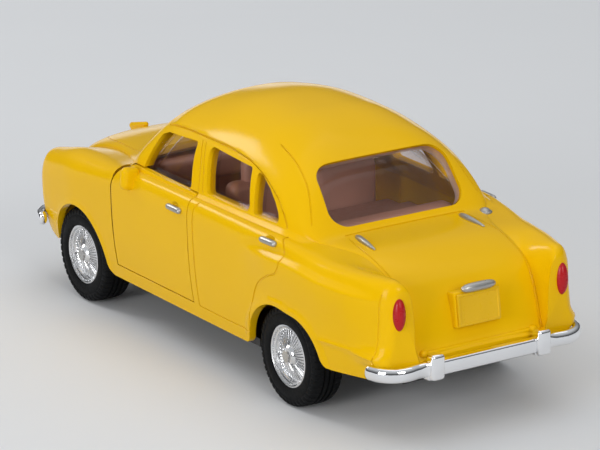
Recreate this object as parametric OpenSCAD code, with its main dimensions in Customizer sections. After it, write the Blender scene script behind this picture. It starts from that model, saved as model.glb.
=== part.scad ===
// Toy saloon taxi with a pull-back motor, hinged front doors and rolling wheels.
// Millimetres. +X is forwards, +Y is the left side, +Z is up, and the ground is z = 0.

/* [Overall] */
// Length over both bumpers
overall_l = 118; // [114:0.5:124]
// Width of the body over the doors
body_w = 45.4; // [44:0.2:48]
// Height of the roof above the ground
roof_z = 45.2; // [44:0.2:47]
// Distance between the axles
wheelbase = 69.4; // [68:0.2:70.4]
// From the rear axle to the back of the rear bumper
rear_overhang = 29.6; // [28:0.2:31]

/* [Body shell] */
// Wall of the moulded shell
shell_t = 1.4; // [1.1:0.1:1.7]
// Bottom edge of the sills above the ground
sill_z = 8; // [7:0.2:9]
// Belt line under the side windows
belt_z = 30; // [29:0.2:31]
// Bonnet height at the foot of the windscreen
bonnet_z = 30.2; // [29:0.2:31]
// Boot lid height under the rear window
boot_z = 29.4; // [28:0.2:30.4]
// From the front axle back to the foot of the windscreen
cowl_back = 13.4; // [12.4:0.2:14.4]
// Length of the windscreen seen from above
screen_run = 8.6; // [7:0.2:10]
// From the rear axle back to the foot of the rear window
back_foot = 4; // [3:0.2:5]
// Length of the rear window slope seen from above
back_run = 7; // [6:0.2:8]
// Gap between the shell's tail and the rear bumper's back face
tail_gap = 3; // [2.6:0.1:4]
// Gap between the shell's nose and the front bumper's front face
nose_gap = 2.6; // [2.4:0.1:3.4]

/* [Doors] */
// From the foot of the windscreen back to the front edge of the front doors
door_back = 0.8; // [0.6:0.1:1.4]
// Length of the front doors
door_l = 26.2; // [24:0.2:27]
// Bottom edge of the front doors above the ground
door_bottom_z = 10.8; // [10:0.2:12]
// Shut-line gap round the doors
door_gap = 0.35; // [0.25:0.05:0.5]
// Wall of the doors
door_t = 1.3; // [1:0.1:1.5]
// Radius of the steel hinge pins
hinge_pin_r = 0.6; // [0.5:0.05:0.7]
// Hinge axis below the outer skin
hinge_depth = 2.9; // [2.8:0.1:3.2]
// Hinge axis behind the door's front edge
hinge_behind = 2.1; // [1.9:0.1:2.3]

/* [Wheels] */
// Radius of the tyres
tyre_r = 8.8; // [8.4:0.1:9]
// Width of the tyres
tyre_w = 6; // [5:0.2:6.4]
// Outer face of the tyres inside the body's widest point
tyre_inset = 1.5; // [1.3:0.1:2.1]
// Radius of the chrome wheel rims
rim_r = 5.5; // [5:0.1:6]
// Radius of the steel axles
axle_r = 1; // [0.8:0.05:1.2]
// Number of moulded wire spokes on each wheel
spoke_count = 28; // [16:2:36]

/* [Motor] */
// Gear module
gear_module = 0.5; // [0.48:0.01:0.52]
// Teeth on the axle pinion and on the idler's small gear
pinion_teeth = 10; // [10:1:11]
// Teeth on the idler's large gear
idler_teeth = 18; // [18:1:20]
// Teeth round the spring barrel
barrel_teeth = 26; // [24:1:26]
// Wall of the motor case
case_t = 1; // [0.8:0.1:1.2]
// Radius of the idler shaft
idler_shaft_r = 0.75; // [0.6:0.05:0.8]
// Turns of the mainspring
spring_turns = 5; // [4:1:6]

/* [Trim] */
// Height of the bumpers' middle above the ground
bumper_z = 12.6; // [12.2:0.1:13]
// Height of the bumper bars
bumper_h = 2.5; // [2.2:0.1:2.8]
// Depth of the bumper bars
bumper_t = 1.7; // [1.4:0.1:2]
// Wrapped ends of the rear bumper inside the body's widest point
bumper_inset = 1.7; // [1.1:0.1:1.9]
// Middle of the overriders inside the body's widest point
overrider_inset = 12.1; // [11.7:0.1:12.3]
// Width of the number plate
plate_w = 8.4; // [7.6:0.2:9.2]
// Height of the number plate
plate_h = 5.4; // [5:0.2:6]
// Radius of the headlamps
headlamp_r = 3.4; // [3.2:0.1:3.5]
// Height of the headlamps above the ground
headlamp_z = 20; // [19.8:0.1:20.4]
// Middle of the headlamps inside the body's widest point
headlamp_inset = 8.1; // [7.7:0.1:8.5]
// Middle of the tail lamps inside the body's widest point
tail_lamp_inset = 6.5; // [6.1:0.1:6.9]
// Length of the door handles
handle_l = 4.6; // [4:0.2:5.4]

/* [Hidden] */
$fn = 48;
// Running clearance of a shaft in its bore
run_c = 0.06;
// Clearance of a piece that is pressed or glued into its seat
seat_c = 0.02;
// Clearance between mouldings that lie against each other
fit_c = 0.1;

// The wheelbase stretches with the length, and the doors, windows and overhangs stretch with both;
// the values above are those of a car 118 long with its axles 69.4 apart
axle_gap = wheelbase * overall_l / 118;
cabin_k = axle_gap / 69.4;
overhang_k = (overall_l - axle_gap) / (118 - 69.4);

// Stations along the car
rear_axle_x = -overall_l / 2 + rear_overhang * overhang_k;
front_axle_x = rear_axle_x + axle_gap;
axle_z = tyre_r;
tail_x = -overall_l / 2 + tail_gap;
nose_x = overall_l / 2 - nose_gap;
cowl_x = front_axle_x - cowl_back;
screen_top_x = cowl_x - screen_run;
boot_edge_x = rear_axle_x - back_foot;
back_top_x = boot_edge_x + back_run;
roof_peak_x = (screen_top_x + back_top_x) / 2 + 3;
boot_l = boot_edge_x - tail_x;
door_front_x = cowl_x - door_back;
door_rear_x = door_front_x - door_l * cabin_k;
half_w = body_w / 2;
cabin_h = roof_z - belt_z;
tyre_face_y = half_w - tyre_inset;
bumper_half_w = half_w - bumper_inset;
overrider_y = half_w - overrider_inset;
headlamp_y = half_w - headlamp_inset;
tail_lamp_y = half_w - tail_lamp_inset;

// Character lines of the shell, each a list of [x, value] knots from tail to nose
tail_low_z = sill_z + 5.8;
screen_top_z = roof_z - 4.8;
back_top_z = roof_z - 6;
top_line = [[tail_x, tail_low_z + 0.2], [tail_x + 1.4, tail_low_z + 1.6],
    [tail_x + 2.4, boot_z - 9.2], [tail_x + 0.195 * boot_l, boot_z - 5.2], [tail_x + 0.355 * boot_l, boot_z - 2.6],
    [tail_x + 0.62 * boot_l, boot_z - 0.8], [boot_edge_x - 0.6, boot_z], [boot_edge_x + 1, boot_z + 1.8],
    [back_top_x, back_top_z], [back_top_x + 6.5, roof_z - 2.5], [back_top_x + 16, roof_z - 0.5],
    [roof_peak_x, roof_z], [screen_top_x - 8, roof_z - 1.3], [screen_top_x, screen_top_z],
    [cowl_x - 0.6, bonnet_z + 0.8], [cowl_x + 1.4, bonnet_z], [front_axle_x + 1, bonnet_z - 1],
    [nose_x - 6, bonnet_z - 2.9], [nose_x - 2, bonnet_z - 4.4], [nose_x, bonnet_z - 5.6]];
valley_z = [[tail_x, tail_low_z - 0.4], [tail_x + 1.4, tail_low_z + 0.4],
    [tail_x + 2.8, boot_z - 11], [tail_x + 0.22 * boot_l, boot_z - 5.8], [tail_x + 0.355 * boot_l, boot_z - 3.4],
    [tail_x + 0.62 * boot_l, boot_z - 1.5], [boot_edge_x, boot_z - 0.6], [boot_edge_x + 3, belt_z - 0.2],
    [back_top_x, belt_z + 0.2], [door_front_x - 4, belt_z], [cowl_x, bonnet_z - 1.4],
    [front_axle_x, bonnet_z - 2.9], [nose_x - 6, bonnet_z - 5.2], [nose_x, bonnet_z - 7.6]];
valley_y = [[tail_x, half_w - 10.2], [tail_x + 0.265 * boot_l, half_w - 10], [tail_x + 0.62 * boot_l, half_w - 9.4],
    [boot_edge_x - 2, half_w - 7.2], [boot_edge_x + 2, half_w - 4.5], [back_top_x, half_w - 3.1],
    [door_rear_x, half_w - 2.5], [door_front_x - 5, half_w - 3], [cowl_x, half_w - 5.4],
    [front_axle_x - 6, half_w - 8.4], [front_axle_x + 3, half_w - 10.2], [nose_x, half_w - 11.6]];
crest_z = [[tail_x, boot_z - 1.6], [tail_x + 2, boot_z - 1.6], [tail_x + 0.265 * boot_l, boot_z - 1.6],
    [tail_x + 0.71 * boot_l, boot_z - 1.3], [boot_edge_x, boot_z - 0.6], [back_top_x, belt_z - 0.6],
    [door_rear_x, belt_z - 0.5], [door_front_x - 5, belt_z - 0.7], [cowl_x + 3, bonnet_z - 1.7],
    [front_axle_x + 3, bonnet_z - 2.5], [nose_x - 6, bonnet_z - 4], [nose_x, bonnet_z - 5.4]];
crest_y = [[tail_x, half_w - 5.7], [tail_x + 2, half_w - 5.5], [tail_x + 0.265 * boot_l, half_w - 5.3],
    [tail_x + 0.71 * boot_l, half_w - 4.8], [boot_edge_x, half_w - 3.4], [back_top_x, half_w - 2.4],
    [door_rear_x, half_w - 2], [door_front_x - 5, half_w - 2.4], [cowl_x + 3, half_w - 4],
    [front_axle_x + 3, half_w - 5.1], [nose_x, half_w - 5.4]];
shoulder_z = [[tail_x, boot_z - 8], [tail_x + 0.265 * boot_l, boot_z - 5.6], [tail_x + 0.71 * boot_l, boot_z - 4.8],
    [back_top_x, belt_z - 4.4], [door_front_x, belt_z - 5.4], [front_axle_x, bonnet_z - 7.4],
    [nose_x - 6, bonnet_z - 9.6], [nose_x, bonnet_z - 11.4]];
side_y = [[tail_x, half_w - 3.4], [tail_x + 2, half_w - 2.8], [tail_x + 0.355 * boot_l, half_w - 1.8],
    [tail_x + 0.71 * boot_l, half_w - 0.6], [rear_axle_x, half_w - 0.05], [door_rear_x - 15, half_w],
    [door_front_x, half_w - 0.1], [front_axle_x, half_w - 0.3], [nose_x - 8, half_w - 0.9],
    [nose_x - 3, half_w - 1.5], [nose_x, half_w - 2.2]];
bottom_z = [[tail_x, sill_z + 4.2], [tail_x + 0.265 * boot_l, sill_z + 3.3], [rear_axle_x - 11, sill_z + 2.6],
    [rear_axle_x + 8, sill_z], [front_axle_x - 8, sill_z], [nose_x - 6, sill_z + 1],
    [nose_x, sill_z + 2.6]];
// How square the cabin's corners are in section, and how far its sides lean in
squareness = [[tail_x, 2.4], [boot_edge_x - 4, 2.4], [boot_edge_x + 3, 4.8], [back_top_x + 8, 3.2],
    [roof_peak_x, 2.5], [screen_top_x - 8, 2.3], [cowl_x - 4, 3.6], [cowl_x + 4, 2.3], [nose_x, 2.3]];
lean = [[tail_x, 0], [boot_edge_x, 0.02], [back_top_x, 0.18], [roof_peak_x, 0.2],
    [screen_top_x, 0.18], [cowl_x, 0.02], [nose_x, 0]];
// Rounding of the shell's tail and nose, and how far the sills tuck in
end_r = 2.4;
end_pull = 0.75;
tuck = 1.5;

// Smooth curve through [x, value] knots that never overshoots them
function knot(k, x, i = 0) = (i + 2 >= len(k) || x < k[i + 1][0]) ? i : knot(k, x, i + 1);
function rise(k, i) = (k[i + 1][1] - k[i][1]) / (k[i + 1][0] - k[i][0]);
function slope(k, i) = i == 0 ? rise(k, 0) : i == len(k) - 1 ? rise(k, i - 1) :
    let (a = rise(k, i - 1), b = rise(k, i)) a * b <= 0 ? 0 : 2 * a * b / (a + b);
function curve(k, x) = let (
        xc = max(k[0][0], min(k[len(k) - 1][0], x)),
        i = knot(k, xc),
        h = k[i + 1][0] - k[i][0],
        t = (xc - k[i][0]) / h)
    (2 * t ^ 3 - 3 * t ^ 2 + 1) * k[i][1] + (t ^ 3 - 2 * t ^ 2 + t) * h * slope(k, i)
    + (3 * t ^ 2 - 2 * t ^ 3) * k[i + 1][1] + (t ^ 3 - t ^ 2) * h * slope(k, i + 1);

// Extra inset that rounds the ends of the shell
function end_inset(x, inset) = let (e = min(x - tail_x - inset, nose_x - inset - x))
    e >= end_r ? 0 : end_pull * end_r * (1 - sqrt(max(0, 1 - (1 - max(0, e) / end_r) ^ 2)));

// Thickness of a wall of the given inset measured straight down under the top line
function top_drop(x, inset) =
    let (s = (curve(top_line, x + 0.2) - curve(top_line, x - 0.2)) / 0.4)
    inset * min(2.2, sqrt(1 + s * s));

// Lower half of a section: sill, side, shoulder and crest, as [y, z] from the bottom up
function low_section(x, inset, rows, bottom) = let (
        pull = end_inset(x, inset),
        ys = curve(side_y, x) - inset - pull,
        zs = curve(shoulder_z, x) - pull,
        zb = bottom ? curve(bottom_z, x) + pull * 0.6 : sill_z - 4,
        yu = min(ys - 0.3, curve(crest_y, x) - pull * 0.5),
        zu = curve(crest_z, x) - inset - pull)
    concat(
        [for (j = [0:rows]) [ys - tuck * (1 - j / rows) ^ 2.5, zb + (zs - zb) * j / rows]],
        [for (j = [1:rows]) let (a = 90 * j / rows)
            [yu + (ys - yu) * cos(a) ^ 0.8, zs + (zu - zs) * sin(a) ^ 0.8]]);

// Upper half of a section: from the belt or valley over the roof, bonnet or boot to the centre
function high_section(x, inset, rows) = let (
        pull = end_inset(x, inset),
        yv = curve(valley_y, x) - inset - pull * 0.5,
        zv = curve(valley_z, x) - inset,
        top = max(zv + 0.4, curve(top_line, x) - top_drop(x, inset)),
        n = curve(squareness, x),
        m = 2 + 5 * curve(lean, x),
        k = curve(lean, x))
    [for (j = [0:rows]) let (a = 90 * (j / rows) ^ 1.25, h = sin(a) ^ (2 / m))
        [j == rows ? 0 : yv * (1 - k * h) * cos(a) ^ (2 / n), zv + (top - zv) * h]];

function half_section(x, inset, low_rows, high_rows, bottom = true) =
    concat(low_section(x, inset, low_rows, bottom), high_section(x, inset, high_rows));

// Closed ring of a whole section as [x, y, z], left side first
function ring(x, half) = concat(
    [for (p = half) [x, p[0], p[1]]],
    [for (i = [len(half) - 2:-1:0]) [x, -half[i][0], half[i][1]]]);

// Stations from a to b, closer together at both ends
function stations(a, b, n) = [for (i = [0:n]) (a + b) / 2 - (b - a) / 2 * cos(180 * i / n) * 0.4
    - (b - a) / 2 * (1 - 2 * i / n) * 0.6];

// Solid through a list of rings that all have the same number of points
module loft(rings) {
    n = len(rings[0]);
    last = len(rings) - 1;
    polyhedron(
        points = [for (r = rings) each r],
        faces = concat(
            [[for (j = [0:n - 1]) j]],
            [for (i = [0:last - 1], j = [0:n - 1]) let (k = (j + 1) % n)
                each [[i * n + j, (i + 1) * n + j, (i + 1) * n + k],
                      [i * n + j, (i + 1) * n + k, i * n + k]]],
            [[for (j = [n - 1:-1:0]) last * n + j]]),
        convexity = 8);
}

module body_solid(inset, x0, x1, steps, low_rows, high_rows, bottom) {
    loft([for (x = stations(x0, x1, steps))
        ring(x, half_section(x, inset, low_rows, high_rows, bottom))]);
}

// Side outline of the door seen from the left, as x and z
door_corner_r = 5;
module door_outline(grow) {
    offset(delta = grow)
        difference() {
            translate([door_rear_x, door_bottom_z]) square([door_front_x - door_rear_x, belt_z - door_bottom_z]);
            translate([door_front_x - door_corner_r, belt_z - door_corner_r])
                difference() {
                    square(door_corner_r + 1);
                    circle(door_corner_r);
                }
        }
}

// Prism through the side of the car from an outline in x and z
module side_prism(y0, y1) {
    translate([0, y1, 0]) rotate([90, 0, 0]) linear_extrude(y1 - y0) children();
}

// Rounded outline through corner points
module rounded(points, r) {
    hull() for (p = points) translate(p) circle(r, $fn = 20);
}

// Side windows: front door, rear door and quarter light
window_low_z = belt_z + 0.7;
window_top_z = belt_z + 0.507 * cabin_h;
window_h = window_top_z - window_low_z;
pillar_x = door_rear_x + 2;
module front_window() {
    hull() {
        for (p = [[pillar_x + 1, window_low_z], [pillar_x + 3.2, window_top_z - 0.6],
            [screen_top_x - 3.4, window_top_z - 1.4]])
            translate(p) circle(0.7, $fn = 24);
        translate([cowl_x - 8, window_low_z - 0.2]) circle(0.5, $fn = 24);
    }
}
rear_window_x0 = boot_edge_x + 16.8 * cabin_k;
module rear_side_window() {
    rounded([[door_rear_x - 4.4, window_low_z + 0.5], [door_rear_x - 1.8, window_top_z - 0.6],
        [rear_window_x0 + 3.6, window_top_z - 1.2], [rear_window_x0 + 1.2, window_low_z + 0.5]], 1.1);
}
module quarter_window() {
    rounded([[rear_window_x0 - 2, window_low_z + 0.4], [rear_window_x0 - 0.2, window_top_z - 2],
        [rear_window_x0 - 4.4, window_low_z + window_h / 2], [rear_window_x0 - 7.2, window_low_z + 0.4]], 0.7);
}

// Windscreen and rear window, cut square to their slopes
screen_angle = atan2(screen_top_z - bonnet_z, screen_run);
back_angle = atan2(back_top_z - boot_z, back_run);
module screen_prism(x, z, angle, low_half, top_half, low, high, r, depth) {
    translate([x, 0, z]) rotate([0, angle, 0]) rotate([0, 0, 90]) translate([0, 0, -depth / 2])
        linear_extrude(depth)
            rounded([for (s = [-1, 1]) each [[s * (low_half - r), low + r], [s * (top_half - r), high - r]]], r);
}
screen_slope_l = norm([screen_run, screen_top_z - bonnet_z]);
back_slope_l = norm([back_run, back_top_z - boot_z]);
windscreen_low_half = half_w - 6.6;
windscreen_top_half = half_w - 9.4;
back_low_half = half_w - 8.8;
back_top_half = half_w - 10.2;

// Wheel arch outlines as x and z
arch_r = tyre_r + 1.1;
module rear_arch() {
    hull() {
        translate([rear_axle_x + 0.8, axle_z - 1]) circle(arch_r);
        translate([rear_axle_x - 3.4, axle_z - 0.3]) circle(arch_r - 0.8);
        translate([rear_axle_x - 3.4, 0]) circle(arch_r - 0.6);
    }
}
module front_arch() {
    hull() {
        translate([front_axle_x - 0.5, axle_z]) circle(arch_r - 0.2);
        translate([front_axle_x - 0.5, 0]) circle(arch_r - 0.2);
    }
}

// Places of the trim on the shell
plate_x = tail_x + 0.8;
plate_mid_z = boot_z - 9;
tail_lamp_z = boot_z - 7.2;
tail_lamp_half_h = 2.9;
tail_lamp_r = 1.5;
fuel_cap_x = boot_edge_x - 1.8;
fuel_cap_y = -(half_w - 6.2);
fuel_cap_z = boot_z - 0.8;
fuel_cap_r = 1.6;
boot_hinge_l = 6.6;
boot_hinge_r = 0.7;
boot_hinge_y = half_w - 12;
rear_handle_x = boot_edge_x + 7.2;
rear_handle_z = belt_z - 1.7;
front_handle_x = door_rear_x + 4;
front_handle_z = belt_z - 3.2;
handle_r = 0.5;
handle_stand = 0.2;
peg_r = 0.4;
peg_l = 0.7;
headlamp_depth = 0.9;
bezel_t = 0.6;
side_lamp_r = 0.8;
side_lamp_y = headlamp_y;
side_lamp_z = headlamp_z - headlamp_r - bezel_t - side_lamp_r - 0.3;
grille_half_w = headlamp_y - headlamp_r - bezel_t - 1.6;
grille_z0 = bumper_z + bumper_h / 2 + 0.2;
grille_z1 = headlamp_z + 1.6;
grille_depth = 0.8;

// Outer skin of the lower body at a height, on the left side
function skin_y(x, z) = let (
        zs = curve(shoulder_z, x),
        zu = curve(crest_z, x),
        zb = curve(bottom_z, x),
        ys = curve(side_y, x),
        yu = curve(crest_y, x),
        s = max(0, min(1, (z - zs) / (zu - zs))) ^ 1.25)
    z < zs ? ys - tuck * (1 - (z - zb) / (zs - zb)) ^ 2.5
    : yu + (ys - yu) * sqrt(1 - s * s) ^ 0.8;

// Bar with round ends along X, centred
module round_bar(l, r) {
    e = l / 2;
    rotate([0, 90, 0]) rotate_extrude($fn = 24) polygon([[0, -e], [0.5 * r, -e], [0.87 * r, 0.5 * r - e],
        [r, r - e], [r, e - r], [0.87 * r, e - 0.5 * r], [0.5 * r, e], [0, e]]);
}

// Upright lens of revolution
module lens(half_h, r) {
    rotate_extrude($fn = 24)
        polygon([for (a = [-90:18:90]) [max(0, r * cos(a)), half_h * sin(a)]]);
}

module tail_lamp(s, grow) {
    translate([tail_x + 0.3, s * tail_lamp_y, tail_lamp_z])
        lens(tail_lamp_half_h + grow, tail_lamp_r + grow);
}

module boot_hinge(s, grow) {
    slope_a = atan2(curve(top_line, boot_edge_x - 1) - curve(top_line, boot_edge_x - 8), 7);
    x = boot_edge_x - 4.6;
    y = s * boot_hinge_y;
    z = curve(valley_z, x) + (curve(top_line, x) - curve(valley_z, x)) * 0.66;
    translate([x, y, z]) rotate([0, -slope_a, -s * 5]) round_bar(boot_hinge_l + 2 * grow, boot_hinge_r + grow);
}

// Handle with two pegs; x and z place it and its back follows the skin
module handle(x, z, bar) {
    y = skin_y(x, z);
    grow = bar ? 0 : seat_c;
    translate([x, y + handle_stand, z]) round_bar(handle_l + 2 * grow, handle_r + grow);
    for (s = [-1, 1]) translate([x + s * (handle_l / 2 - 0.9), y - peg_l - grow, z]) rotate([-90, 0, 0])
        cylinder(h = handle_stand + peg_l + grow, r = peg_r + grow, $fn = 16);
}

module on_sides() {
    children();
    mirror([0, 1, 0]) children();
}

// Sizes and places of the pull-back motor
pressure_a = 25;
addendum = 0.8;
dedendum = 1;
flank_c = 0.05;
idler_a = 8;
barrel_a = 25;
idler_d = gear_module * (pinion_teeth + idler_teeth) / 2;
barrel_d = gear_module * (pinion_teeth + barrel_teeth) / 2;
idler_x = rear_axle_x + idler_d * cos(idler_a);
idler_z = axle_z + idler_d * sin(idler_a);
barrel_x = idler_x + barrel_d * cos(barrel_a);
barrel_z = idler_z + barrel_d * sin(barrel_a);
gear_tip_c = 0.5;
cavity_axle_r = gear_module * (pinion_teeth / 2 + addendum) + gear_tip_c;
cavity_idler_r = gear_module * (idler_teeth / 2 + addendum) + gear_tip_c;
cavity_barrel_r = gear_module * (barrel_teeth / 2 + addendum) + gear_tip_c;
gear_gap = 0.35;
gear_t = 2.8;
barrel_t = 3.8;
arbor_r = 1;
case_half_w = barrel_t + 2 * gear_gap + case_t;
motor_x0 = rear_axle_x - cavity_axle_r - case_t;
motor_x1 = barrel_x + cavity_barrel_r + case_t;
motor_top_z = barrel_z + cavity_barrel_r + case_t;
flange_t = 1.2;
flange_w = 5;
motor_screws = [[idler_x, case_half_w + 2.6], [idler_x, -case_half_w - 2.6]];

// Chassis levels
base_t = 1.4;
base_z = sill_z - 1.2;
base_top = base_z + base_t;
tail_rise = 2.6;
boss_r = 2.4;
screw_r = 0.9;
boss_y = 8;
front_boss_x = front_axle_x - 5.6;
base_front_x = nose_x - 4;
base_tail_x = tail_x + 2.4;
base_step_x = rear_axle_x - tyre_r - 2.4;
rear_boss_x = (base_tail_x + base_step_x) / 2;

module boss(x, y, bottom) {
    translate([x, y, bottom]) cylinder(h = curve(top_line, x) - 0.9 - bottom, r = boss_r, $fn = 24);
}
module boss_hole(x, y, bottom) {
    translate([x, y, bottom - 1]) cylinder(h = 9, r = screw_r + seat_c, $fn = 16);
}

// Small raised ornament on the nose of the bonnet
module bonnet_ornament() {
    hull() {
        translate([nose_x - 5.4, 0, bonnet_z - 3]) sphere(0.5, $fn = 16);
        translate([nose_x - 1.4, 0, bonnet_z - 3.4]) sphere(0.9, $fn = 16);
        translate([nose_x - 1.6, 0, bonnet_z - 5]) sphere(0.6, $fn = 16);
    }
}

module body_shell() {
    color("gold") difference() {
        union() {
            difference() {
                union() {
                    body_solid(0, tail_x, nose_x, 40, 5, 9, true);
                    translate([plate_x, -plate_w / 2 - 0.3, plate_mid_z - plate_h / 2 - 0.3])
                        cube([4.4, plate_w + 0.6, plate_h + 0.6]);
                    bonnet_ornament();
                }
                body_solid(shell_t, tail_x + 6.4, nose_x - 2, 28, 4, 6, false);
            }
            for (s = [-1, 1]) boss(front_boss_x, s * boss_y, base_top);
            boss(rear_boss_x, 0, base_top + tail_rise);
        }
        for (s = [-1, 1]) boss_hole(front_boss_x, s * boss_y, base_top);
        boss_hole(rear_boss_x, 0, base_top + tail_rise);
        on_sides() {
            side_prism(12, 30) front_window();
            side_prism(12, 30) rear_side_window();
            side_prism(12, 30) quarter_window();
            side_prism(12, 30) rear_arch();
            side_prism(12, 30) front_arch();
            side_prism(12, 30) door_outline(door_gap);
            tail_lamp(1, seat_c);
            boot_hinge(1, seat_c);
            handle(rear_handle_x, rear_handle_z, false);
            translate([nose_x - headlamp_depth, headlamp_y, headlamp_z]) rotate([0, 90, 0])
                cylinder(h = 5, r = headlamp_r + bezel_t + seat_c, $fn = 32);
            translate([nose_x - headlamp_depth, side_lamp_y, side_lamp_z]) rotate([0, 90, 0])
                cylinder(h = 5, r = side_lamp_r + seat_c, $fn = 16);
            for (x = [tail_x - 2, nose_x - 6]) translate([x, overrider_y - stem_half_w - stem_c, 0])
                cube([8, 2 * (stem_half_w + stem_c), base_top + tail_rise + stem_h + stem_c]);
            hinge_relief();
        }
        screen_prism(cowl_x, bonnet_z, screen_angle, windscreen_low_half, windscreen_top_half,
            1.4, screen_slope_l - 0.6, 2.6, 8);
        mirror([1, 0, 0]) screen_prism(-boot_edge_x, boot_z, back_angle, back_low_half, back_top_half,
            1.9, back_slope_l - 0.2, 3, 8);
        translate([nose_x - grille_depth, -grille_half_w - seat_c, grille_z0 - seat_c])
            cube([5, 2 * (grille_half_w + seat_c), grille_z1 - grille_z0 + 2 * seat_c]);
        translate([fuel_cap_x, fuel_cap_y, fuel_cap_z - 0.5]) cylinder(h = 4, r = fuel_cap_r + seat_c, $fn = 24);
        plate_lamp_bar(seat_c);
    }
}

// Number plate and the lamp bar above it
plate_t = 0.4;
plate_lamp_r = 0.75;
module number_plate() {
    color("khaki") translate([plate_x - plate_t, -plate_w / 2, plate_mid_z - plate_h / 2])
        cube([plate_t, plate_w, plate_h]);
}
module plate_lamp_bar(grow) {
    translate([plate_x + 0.2, 0, plate_mid_z + plate_h / 2 + plate_lamp_r + 0.05]) rotate([0, 0, 90])
        round_bar(plate_w - 1.6 + 2 * grow, plate_lamp_r + grow);
}
module plate_lamp() {
    color("silver") plate_lamp_bar(0);
}

module tail_lamps() {
    color("firebrick") for (s = [-1, 1]) tail_lamp(s, 0);
}

module boot_hinges() {
    color("silver") for (s = [-1, 1]) boot_hinge(s, 0);
}

module fuel_cap() {
    color("silver") translate([fuel_cap_x, fuel_cap_y, fuel_cap_z - 0.5]) {
        cylinder(h = 1, r = fuel_cap_r);
        translate([0, 0, 1]) cylinder(h = 0.3, r1 = fuel_cap_r, r2 = fuel_cap_r - 0.4);
    }
}

module rear_door_handles() {
    color("silver") on_sides() handle(rear_handle_x, rear_handle_z, true);
}

// Clear moulding inside the cabin that glazes every window
glass_t = 0.9;
glass_c = 0.5;
glass_rows = 9;
glass_steps = 26;
glass_x0 = boot_edge_x + 2.2;
glass_x1 = cowl_x - 2.2;
module window_glazing() {
    outer = [for (x = stations(glass_x0, glass_x1, glass_steps))
        ring(x, high_section(x, shell_t + glass_c, glass_rows))];
    inner = [for (x = stations(glass_x0, glass_x1, glass_steps))
        ring(x, high_section(x, shell_t + glass_c + glass_t, glass_rows))];
    n = len(outer[0]);
    size = n * len(outer);
    last = glass_steps;
    color("lightblue", 0.4) polyhedron(
        points = concat([for (r = outer) each r], [for (r = inner) each r]),
        faces = concat(
            [for (i = [0:last - 1], j = [0:n - 2]) let (a = i * n + j, b = a + n)
                each [[a, b, b + 1], [a, b + 1, a + 1]]],
            [for (i = [0:last - 1], j = [0:n - 2]) let (a = size + i * n + j, b = a + n)
                each [[a, b + 1, b], [a, a + 1, b + 1]]],
            [for (i = [0:last - 1]) let (a = i * n, b = a + n)
                each [[a, size + a, size + b], [a, size + b, b]]],
            [for (i = [0:last - 1]) let (a = i * n + n - 1, b = a + n)
                each [[a, b, size + b], [a, size + b, size + a]]],
            [for (j = [0:n - 2]) each [[j, j + 1, size + j + 1], [j, size + j + 1, size + j]]],
            [for (j = [0:n - 2]) let (a = last * n + j)
                each [[a, size + a + 1, a + 1], [a, size + a, size + a + 1]]]),
        convexity = 6);
}

// Bumper bar with wrapped ends; the bar's outer face is at x = 0 and the car lies towards +X
bend_r = 4.4;
bend_a = 76;
stem_half_w = 1.4;
stem_l = 7.5;
// The front bumper's ends pass outside the nose
front_bumper_half_w = curve(side_y, nose_x - 2.4) + bumper_t - 0.3;
stem_h = 1;
stem_c = 0.3;
overrider_t = 0.6;
// Plan of the bar: straight in the middle, bent at both ends
bend_steps = 8;
module bar_plan(half, t) {
    bar_half = half - bumper_t / 2 - bend_r;
    cx = overrider_t + bumper_t / 2 + bend_r;
    outer_r = bend_r + t / 2;
    inner_r = bend_r - t / 2;
    ups = [for (i = [0:bend_steps]) bend_a * i / bend_steps];
    downs = [for (i = [bend_steps:-1:0]) bend_a * i / bend_steps];
    polygon(concat(
        [for (a = ups) [cx - outer_r * cos(a), bar_half + outer_r * sin(a)]],
        [for (a = downs) [cx - inner_r * cos(a), bar_half + inner_r * sin(a)]],
        [for (a = ups) [cx - inner_r * cos(a), -bar_half - inner_r * sin(a)]],
        [for (a = downs) [cx - outer_r * cos(a), -bar_half - outer_r * sin(a)]]));
}
overrider_r = 1.25;
overrider_h = 4.4;
module overrider() {
    top = overrider_h / 2;
    rotate_extrude($fn = 24) polygon([[0, -top], [overrider_r - 0.4, -top], [overrider_r, 0.6 - top],
        [overrider_r, top - 0.9], [overrider_r - 0.5, top - 0.2], [0.3, top], [0, top]]);
}
module bumper(half, stem_l, stem_z) {
    edge = bumper_t / 4;
    translate([0, 0, bumper_z]) {
        linear_extrude(bumper_h - 2 * edge, center = true) bar_plan(half, bumper_t);
        linear_extrude(bumper_h, center = true) bar_plan(half, bumper_t - 2 * edge);
    }
    on_sides() {
        translate([overrider_r, overrider_y, bumper_z + 0.4]) overrider();
        translate([overrider_t + 0.4, overrider_y - stem_half_w, stem_z])
            cube([stem_l, 2 * stem_half_w, stem_h]);
    }
}
module rear_bumper() {
    color("lightgray") translate([-overall_l / 2, 0, 0])
        bumper(bumper_half_w, stem_l, base_top + tail_rise);
}
module front_bumper() {
    color("lightgray") translate([overall_l / 2, 0, 0]) rotate([0, 0, 180])
        bumper(front_bumper_half_w, stem_l, base_top + tail_rise);
}

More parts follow.
